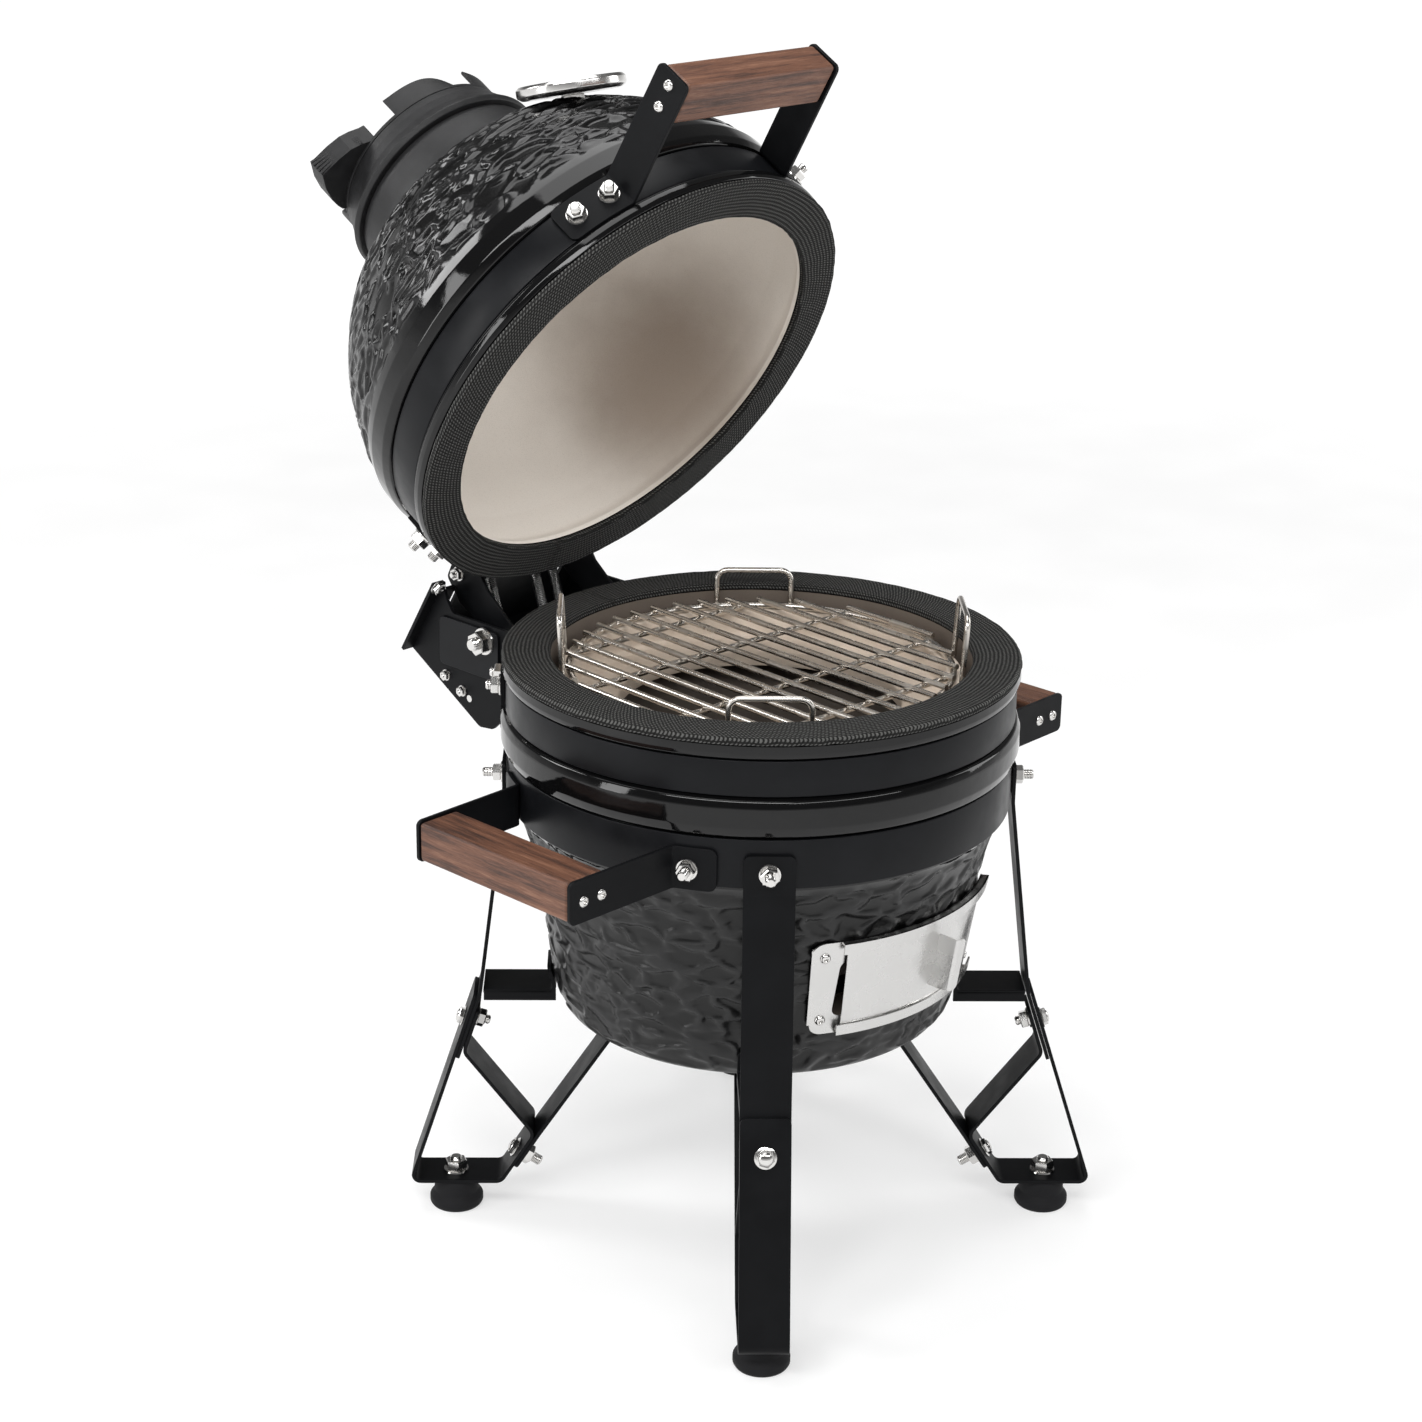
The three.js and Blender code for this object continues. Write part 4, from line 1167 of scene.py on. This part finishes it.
def hinge_cheeks():
    """The base's bracket: a rear plate, a stop plate with slots for the lid's plates, and two cheeks."""
    outline = fillet([(191, 449, 0), (191, 436, 3), (213, 398, 6), (224, 388, 5), (240, 386, 8),
                      (*STOP_FOOT, 3), (*STOP_TOP, 3), (279, 488, 6), (272, 478, 6), (200, 478, 0),
                      (200, 449, 0)], 4, 5, closed=True)
    shape = rear_plate(HINGE_BAND[0] - 1, HINGE_BAND[1] + 0.5, 49)
    for low, high, across in ((437, 472, (-80.6, 80.6)), (471, 495, (-59.2, 59.2)),
                              (471, 495, (-80.6, -64.8)), (471, 495, (64.8, 80.6))):
        strip = [stop_line(high), stop_line(low), stop_line(low, 3), stop_line(high, 3)]
        shape = shape + sheet_plate(strip, *across)
    shape = shape + sheet_plate([STOP_FOOT, (323, 438.5), (290, 419), (291.5, 416.5)], -80.6, 80.6)
    flange = [STOP_TOP, STOP_FOOT, (323.4, 435.5), (282.4, 502.5)]
    for side in (-1, 1):
        shape = shape + sheet_plate(outline, *sorted((side * 80.5, side * CHEEK)))
        shape = shape + sheet_plate(flange, *sorted((side * 82, side * 94)))
    piece("hinge_cheeks", shape, STRAP_PAINT, replaces="hinge_base_bracket", bevel=0.5)


def hinge_side(name, side):
    """The cover plate and the nuts on one side of the base's bracket."""
    cover = fillet(corners(214, 286, 432, 474), 5, 5, closed=True)
    pad = sheet_plate(cover, *sorted((side * 83.6, side * 86)))
    piece(f"hinge_pad_{name}", pad, BAND_PAINT, bevel=0.5)
    fastener(f"pivot_nut_{name}", nut_and_tip(5.5, 15), (side * 86, HINGE_Y, HINGE_Z), (side, 0, 0))
    for number, place in enumerate(((280, 422), (260, 413)), start=1):
        fastener(f"stop_nut_{name}_{number}", nut_and_tip(2.3, 6), (side * CHEEK, *place), (side, 0, 0))
    inwards = (0, -STOP_NORMAL[0], -STOP_NORMAL[1])
    fastener(f"corner_nut_{name}", domed_hex(3.4), (side * 88, *stop_line(501, 3)), inwards)
    for degrees in BASE_NUT_ANGLES:
        fastener(f"hinge_nut_{name}_{round(degrees)}", nut_and_tip(4, 12),
                 polar(REAR_FACE, side * degrees, 463.5), polar(1, side * degrees))


def base_hinge():
    hinge_cheeks()
    for side, name in ((-1, "left"), (1, "right")):
        hinge_side(name, side)
    pivot_rod = tube([(-86, HINGE_Y, HINGE_Z), (86, HINGE_Y, HINGE_Z)], 5, 24)
    piece("pivot_bar", pivot_rod, CHROME, replaces="hinge_pivot_rod")
    piece("anchor_bar_low", tube([(-84, *ANCHOR), (84, *ANCHOR)], 3, 20), CHROME, replaces="spring_rod_lower")


def lid_hinge():
    eye = [(HINGE_Y - 13, HINGE_Z - 4, 5), (HINGE_Y - 6, HINGE_Z - 13, 5), (HINGE_Y + 7, HINGE_Z - 13, 6),
           (HINGE_Y + 15, HINGE_Z - 2, 7)]
    outline = fillet([*eye, (245, 520, 8), (236, 543, 5), (197, 545.5, 0), (197, 516, 0), (205, 514, 4),
                      (212, 500, 6)], 5, 5, closed=True)
    shape = Shape()
    for side in (-1, 1):
        shape = shape + sheet_plate(outline, *sorted((side * 60.5, side * 63.5)))
    inner = disc(BAND_OUTER + 0.6, 440, 580, 96)
    shape = carved(shape, [inner]) + rear_plate(LID_BAND[0] - 0.5, LID_BAND[1] + 1, 43)
    piece("hinge_lid_plate", shape, STRAP_PAINT, "lid", LID, replaces="hinge_lid_bracket", bevel=0.5)
    for side, name in ((-1, "left"), (1, "right")):
        for degrees in LID_NUT_ANGLES:
            face = polar(REAR_FACE, side * degrees, LID_RIM + 34)
            fastener(f"lid_hinge_nut_{name}_{round(degrees)}", nut_and_tip(4.4, 15), face,
                     polar(1, side * degrees), "lid", LID)
        anchor_end = (side * 63.5, *UPPER_ANCHOR)
        fastener(f"upper_anchor_nut_{name}", nut_and_tip(3, 9), anchor_end, (side, 0, 0), "lid", LID)
    piece("anchor_bar_high", tube([(-70, *UPPER_ANCHOR), (70, *UPPER_ANCHOR)], 3, 20), CHROME, "lid", LID,
          replaces="spring_rod_upper")


HOOK = 10                       # length of a spring's hook along its axis


def spring_hook(end, along, third):
    """The wire's points from its end, past a rod, to the first turn. Along points into the spring."""
    steps = ((-4.4, 0), (-3.2, 3.4), (0, 4.4), (4, 4), (HOOK - 2, 3))
    return [end + along * forward + third * aside for forward, aside in steps]


def coil(name, x, coil_radius=3.7, wire=0.75, turns=52):
    """A tension spring with a hook at each end, from the base's rod to the lid's, at its open length."""
    high = BASE.inverted() @ LID @ Vector((x, *UPPER_ANCHOR))
    low = Vector((x, *ANCHOR))
    length = (high - low).length
    along = (high - low).normalized()
    across = Vector((1, 0, 0))
    third = along.cross(across)
    path = spring_hook(low, along, third)
    per_turn = 14
    steps = turns * per_turn
    for i in range(steps + 1):
        turn = 2 * pi * i / per_turn + pi / 2
        reach = HOOK + (length - 2 * HOOK) * i / steps
        path.append(low + along * reach + (across * cos(turn) + third * sin(turn)) * coil_radius)
    path += reversed(spring_hook(high, -along, third))
    shape = tube(path, wire, 8)
    mesh = bpy.data.meshes.new(name)
    mesh.from_pydata([tuple(v) for v in shape.verts], [], shape.faces)
    mesh.materials.append(SPRING_STEEL)
    note_places(mesh)
    mesh.transform(BASE)
    mesh.shade_smooth()
    return linked(name, mesh), BASE @ low, BASE @ high


base_hinge()
lid_hinge()
for number, x in enumerate((-32, 18, 38), start=1):
    spring, spring_low, spring_high = coil(f"coil_{number}", x)
    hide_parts(f"spring_{number}")
    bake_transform(spring)

# ---- lid, drawn closed ----
DOME_SIDE = [(203.4, LID_RIM + 79.6), (199.5, 585), (188, 616), (178, 636), (170, 648.5), (160, 662.5),
             (150, 675), (133, 690), (120, 698), (110, 703.5), (103, 707)]
DOME_INSIDE = (66, 84, 100, 116, 132, 145, 156, 166, 174)      # radii of points on the dome's inner face


def dome():
    lip = [(172, 6.5, 1), (204.3, 6.5, 0.8), (205.6, 10, 2), (205.6, 14, 2), (203.6, 17.4, 2), (199, 18.4, 1),
           (199, 49.6, 1), (203.4, 50.6, 2), (206, 57, 5), (206, 71, 6), (203.4, 79.6, 0)]
    lip = fillet(raised(lip, LID_RIM), 2, 4)
    skin = resampled(smooth_path(DOME_SIDE), 1.5)
    top = [Vector((70, 712))]
    cavity = DOME_RADIUS - DOME_WALL
    inside = [Vector((r, DOME_CENTRE + sqrt(cavity ** 2 - r ** 2))) for r in DOME_INSIDE]
    wall = [(178, 68, 0), (180, 48, 20), (178, 18, 14), (172, 10.5, 3), (172, 6.5, 0)]
    inside += fillet(raised(wall, LID_RIM), 4, 4)
    profile = lip + skin[1:] + top + inside[:-1]
    zones = []
    edge = len(lip) - 1
    crown = edge + len(skin) - 1
    for i in range(len(profile)):
        middle = (profile[i] + profile[(i + 1) % len(profile)]) / 2
        if i < edge:
            zones.append(1 if middle.x > 185 else 2)
        elif i < crown:
            zones.append(0)
        else:
            zones.append(2 if i > crown else 1)
    rough = roughness_mask(LID_RIM + 80, 712, 8, dome_middle, dome_meridian)
    made = piece("dome_shell", lathe(profile, 860, zones=zones), [DOME_GLAZE, GLOSS_GLAZE, LID_CLAY_PAINTED_SHADE],
                 "lid", LID, replaces="lid_dome", smooth=50, detail=rough)
    wrinkle_skin(made, 0.0023)


def dome_middle(height):
    """Radius halfway through the dome's wall at a height."""
    middle = DOME_RADIUS - DOME_WALL / 2
    return sqrt(max(0.0, middle ** 2 - (height - DOME_CENTRE) ** 2))


def dome_meridian(radius, height):
    """Distance along the dome from its equator."""
    return DOME_RADIUS * math.atan2(height - DOME_CENTRE, radius)


dome()
gasket("lid_rim_gasket", LID_RIM + 0.1, LID_RIM + 6, 171.2, 204.8,
       body="lid", place=LID, replaces="lid_gasket")
band("lid_band_ring", *LID_BAND, 199.4, BAND_OUTER, body="lid", place=LID, replaces="lid_band")

# ---- chimney and cap ----
CAP_BASE = 752.3


def chimney():
    neck = smooth_path([(103, 706.5), (97.5, 712), (93.5, 722), (90.6, 734), (88.4, 745), (86.4, 751.5)])
    neck = [Vector((70, 709))] + neck + [Vector((72, 751.5))]
    piece("collar_neck", lathe(neck, 144), CAP_IRON, "lid", LID, replaces="chimney_collar", smooth=45)
    cone = [(74, 0.3, 0.5), (90.6, 0.3, 1.5), (92.2, 5, 2), (87.4, 13.5, 5), (83, 24, 10), (80.8, 31.8, 1),
            (74, 31.8, 0.5)]
    cone = fillet(raised(cone, CAP_BASE), 2, 5, closed=True)
    piece("cap_cone", lathe(cone, 144), CAP_IRON, "lid", LID, replaces="cap_body", smooth=45)


chimney()
WHEEL_LOW = CAP_BASE + 32.4
WHEEL_TOP = CAP_BASE + 53.2
WHEEL_RADIUS = 80.4
PETAL_SPAN = 42                # degrees


def petal(start):
    """One raised comma of the wheel's rim: sharp and tall where it starts, low and thick where it ends."""
    sections = 28
    verts = []
    for i in range(sections + 1):
        t = i / sections
        degrees = start + PETAL_SPAN * t
        top = WHEEL_LOW + 3.5 + (WHEEL_TOP - WHEEL_LOW - 3.5) * (1 - t ** 6)
        thickness = 2.4 + 5.4 * min(1, t * 3) ** 0.7
        outer = WHEEL_RADIUS
        inner = outer - thickness
        soft = min(1.6, thickness / 3, (top - WHEEL_LOW) / 3)
        trim = soft * 0.3
        section = [(inner, WHEEL_LOW + 0.5), (outer, WHEEL_LOW + 0.5), (outer, top - soft),
                   (outer - trim, top - trim), (outer - soft, top), (inner + soft, top),
                   (inner + trim, top - trim), (inner, top - soft)]
        verts += [polar(r, degrees, z) for r, z in section]
    return swept(verts, 8)


# The lever's outline, as (radius, degrees from the front).
LEVER = [(76, -62), (80, -66), (88, -70), (95, -74), (102, -80), (112, -88.5), (103, -97), (94, -106),
         (88, -112), (84, -116), (76, -120), (73, -106), (73, -82)]


def lever():
    """The tab on the cap wheel's rim that turns it."""
    outline = fillet([(*polar(r, a).xy, 1.2) for r, a in LEVER], 1.2, 3, closed=True)
    return extrude(outline, WHEEL_LOW + 2, WHEEL_TOP - 1.2)


def flute(level):
    """A rounded S-curved rib on the lever's flank; level runs from 0 at the bottom to 1 at the top."""
    points = []
    for i in range(25):
        t = i / 24
        degrees = -69 - 19.5 * t
        reach = 86.0 + 26.0 * t ** 1.15
        swell = sin(pi * t)
        rise = level * (0.45 + 0.55 * t)
        z = WHEEL_LOW + 3.5 + (WHEEL_TOP - WHEEL_LOW - 6) * rise + 1.2 * swell * (1 - level)
        points.append(polar(reach, degrees, z))
    return tube(points, 1.7, 8)


def wheel():
    plate = [(0, 0), (WHEEL_RADIUS, 0, 0.6), (WHEEL_RADIUS, 3.2, 1), (72, 3.2, 1), (71, 1.8, 1), (14, 1.8, 1),
             (12, 4.5, 1.5), (0, 4.5)]
    plate = lathe(fillet(raised(plate, WHEEL_LOW), 1, 3), 144, closed=False)
    vent = disc(12, WHEEL_LOW - 5, WHEEL_LOW + 12, 32)
    holes = [vent.at(Matrix.Translation(polar(44, -54 + 60 * k))) for k in range(6)]
    shape = carved(plate, holes) + joined([petal(-45 + 60 * k) for k in range(5)])
    piece("wheel_disc", shape, CAP_IRON, "cap_wheel", LID, replaces=("cap_wheel", "cap_damper"), smooth=40)
    shape = lever() + joined([flute(level) for level in (0.05, 0.3, 0.55, 0.8, 1.0)])
    piece("wheel_lever", shape, CAP_IRON, "cap_wheel", LID, bevel=1.2, bevel_segments=3, smooth=40)
    fastener("wheel_screw", domed_hex(3.6), (0, 0, WHEEL_LOW + 4.5), (0, 0, 1), "cap_wheel", LID)


wheel()

# ---- thermometer ----
DIAL_ELEVATION = radians(44)
DIAL_NORMAL = Vector((0, -cos(DIAL_ELEVATION), sin(DIAL_ELEVATION)))
DIAL_SEAT = Vector((0, 0, DOME_CENTRE)) + DIAL_NORMAL * DOME_RADIUS
DIAL = facing(DIAL_SEAT, DIAL_NORMAL)
CASE = 7.0


def thermometer():
    case = [(0, -0.2), (40, -0.2, 3), (44, 2.5, 2.5), (44, 8.6, 2.2), (41.6, 10.9, 1), (39.6, 10.6, 0.8),
            (39, 9.6, 0.4), (39, 3.6, 0), (0, 3.6)]
    shape = lathe(fillet(raised(case, CASE), 1, 5), 120, closed=False)
    shape = shape + hex_prism(17, 0.5, CASE - 0.4, 0.8) + disc(3, -42, CASE, 20)
    piece("dial_case", shape.at(DIAL), CHROME, "lid", LID, replaces="thermometer_case", smooth=40)
    face = disc(38.9, CASE + 3.7, CASE + 4.1, 96)
    piece("dial_face", face.at(DIAL), DIAL_WHITE, "lid", LID)
    marks = Shape()
    for k in range(55):
        half, start = (0.9, 27) if k % 6 == 0 else (0.35, 32)
        marks = marks + box((-half, half), (start, 36), (CASE + 4.1, CASE + 4.3)).turn(135 - 5 * k)
    piece("dial_marks", marks.at(DIAL), DIAL_BLACK, "lid", LID)
    outline = [(-0.5, 30.5), (-1.3, 4), (-1.6, -9), (1.6, -9), (1.3, 4), (0.5, 30.5)]
    hub = raised([(0, 4.6), (3.2, 4.6), (3.2, 6.4), (2.4, 7), (0, 7)], CASE)
    needle = extrude(outline, CASE + 5.2, CASE + 5.9) + lathe(hub, 32, closed=False)
    piece("dial_needle", needle.at(DIAL), DIAL_BLACK, "thermometer_needle", LID,
          replaces="thermometer_needle")
    glass = disc(38.6, CASE + 8.5, CASE + 10.1, 96)
    piece("dial_glass", glass.at(DIAL), GLASS, "lid", LID, replaces="thermometer_glass")


thermometer()


# ---- floor, light and camera ----
def floor():
    made, tree, shader = material("pale_floor", grey(0.5), 0.9, Emission_Strength=1.0,
                                  Specular_IOR_Level=0.05)
    texture = node(tree, "ShaderNodeTexCoord", 3)
    reach = node(tree, "ShaderNodeVectorMath", 1, _set={"operation": "LENGTH"}, i0=texture)
    glow = ramp(tree, spread(tree, reach, 0.8, 5.0, 0, 1), [(0.0, grey(0.50)), (1.0, grey(0.93))])
    tree.links.new(glow, shader.inputs["Emission Color"])
    soft = node(tree, "ShaderNodeTexNoise", Vector=texture, Scale=6.0, Detail=2.0)
    tree.links.new(ramp(tree, soft, [(0.3, grey(0.49)), (0.7, grey(0.52))]), shader.inputs["Base Color"])
    mesh = bpy.data.meshes.new("floor")
    mesh.from_pydata([(-60, -60, 0), (60, -60, 0), (60, 60, 0), (-60, 60, 0)], [], [(0, 1, 2, 3)])
    mesh.materials.append(made)
    flat = linked("floor", mesh)


def soft_light(name, place, target, size, power):
    lamp = bpy.data.lights.new(name, "AREA")
    lamp.shape = "RECTANGLE"
    lamp.size, lamp.size_y = size
    lamp.energy = power
    made = linked(name, lamp)
    made.location = place
    made.rotation_euler = (Vector(target) - Vector(place)).to_track_quat("-Z", "Y").to_euler()


def studio():
    world = bpy.data.worlds.new("studio")
    bpy.context.scene.world = world
    world.use_nodes = True
    tree = world.node_tree
    background = tree.nodes["Background"]
    background.inputs["Strength"].default_value = 1.0
    direction = node(tree, "ShaderNodeTexCoord", 0)
    height = node(tree, "ShaderNodeSeparateXYZ", 2, Vector=direction)
    sky = ramp(tree, height, [(0.0, grey(0.85)), (0.10, grey(0.55)), (0.32, grey(0.12)), (1.0, grey(0.18))])
    tree.links.new(sky, background.inputs["Color"])
    middle = (0, 0, 0.5)
    soft_light("key", (-2.2, -1.2, 2.7), middle, (2.8, 0.7), 70)
    soft_light("front", (-0.4, -2.9, 2.3), middle, (2.8, 0.45), 32)
    soft_light("fill", (2.6, -1.4, 1.6), middle, (1.2, 1.6), 22)
    soft_light("top", (0.1, 0.5, 3.2), middle, (2.2, 2.2), 52)
    soft_light("back", (-1.4, 2.4, 2.2), middle, (0.7, 1.4), 30)
    soft_light("rim", (-2.8, 0.9, 1.3), middle, (0.6, 1.8), 24)


def camera():
    distance, height, azimuth = 2.16789, 1.2416, radians(-47.758)
    yaw, pitch, roll = radians(-46.726), radians(20.258), radians(-0.909)
    forward = Vector((-sin(yaw) * cos(pitch), cos(yaw) * cos(pitch), -sin(pitch)))
    right = Vector((cos(yaw), sin(yaw), 0))
    down = forward.cross(right)
    right, down = right * cos(roll) + down * sin(roll), down * cos(roll) - right * sin(roll)
    lens = bpy.data.cameras.new("camera")
    lens.sensor_width = 36
    lens.lens = 36 * 2906.12 / 1422
    made = linked("camera", lens)
    turned = Matrix((right, -down, -forward)).transposed().to_4x4()
    place = (distance * sin(azimuth), axis_y - distance * cos(azimuth), height)
    made.matrix_world = Matrix.Translation(place) @ turned
    bpy.context.scene.camera = made


floor()
studio()
camera()
bpy.context.scene.view_settings.view_transform = "Standard"
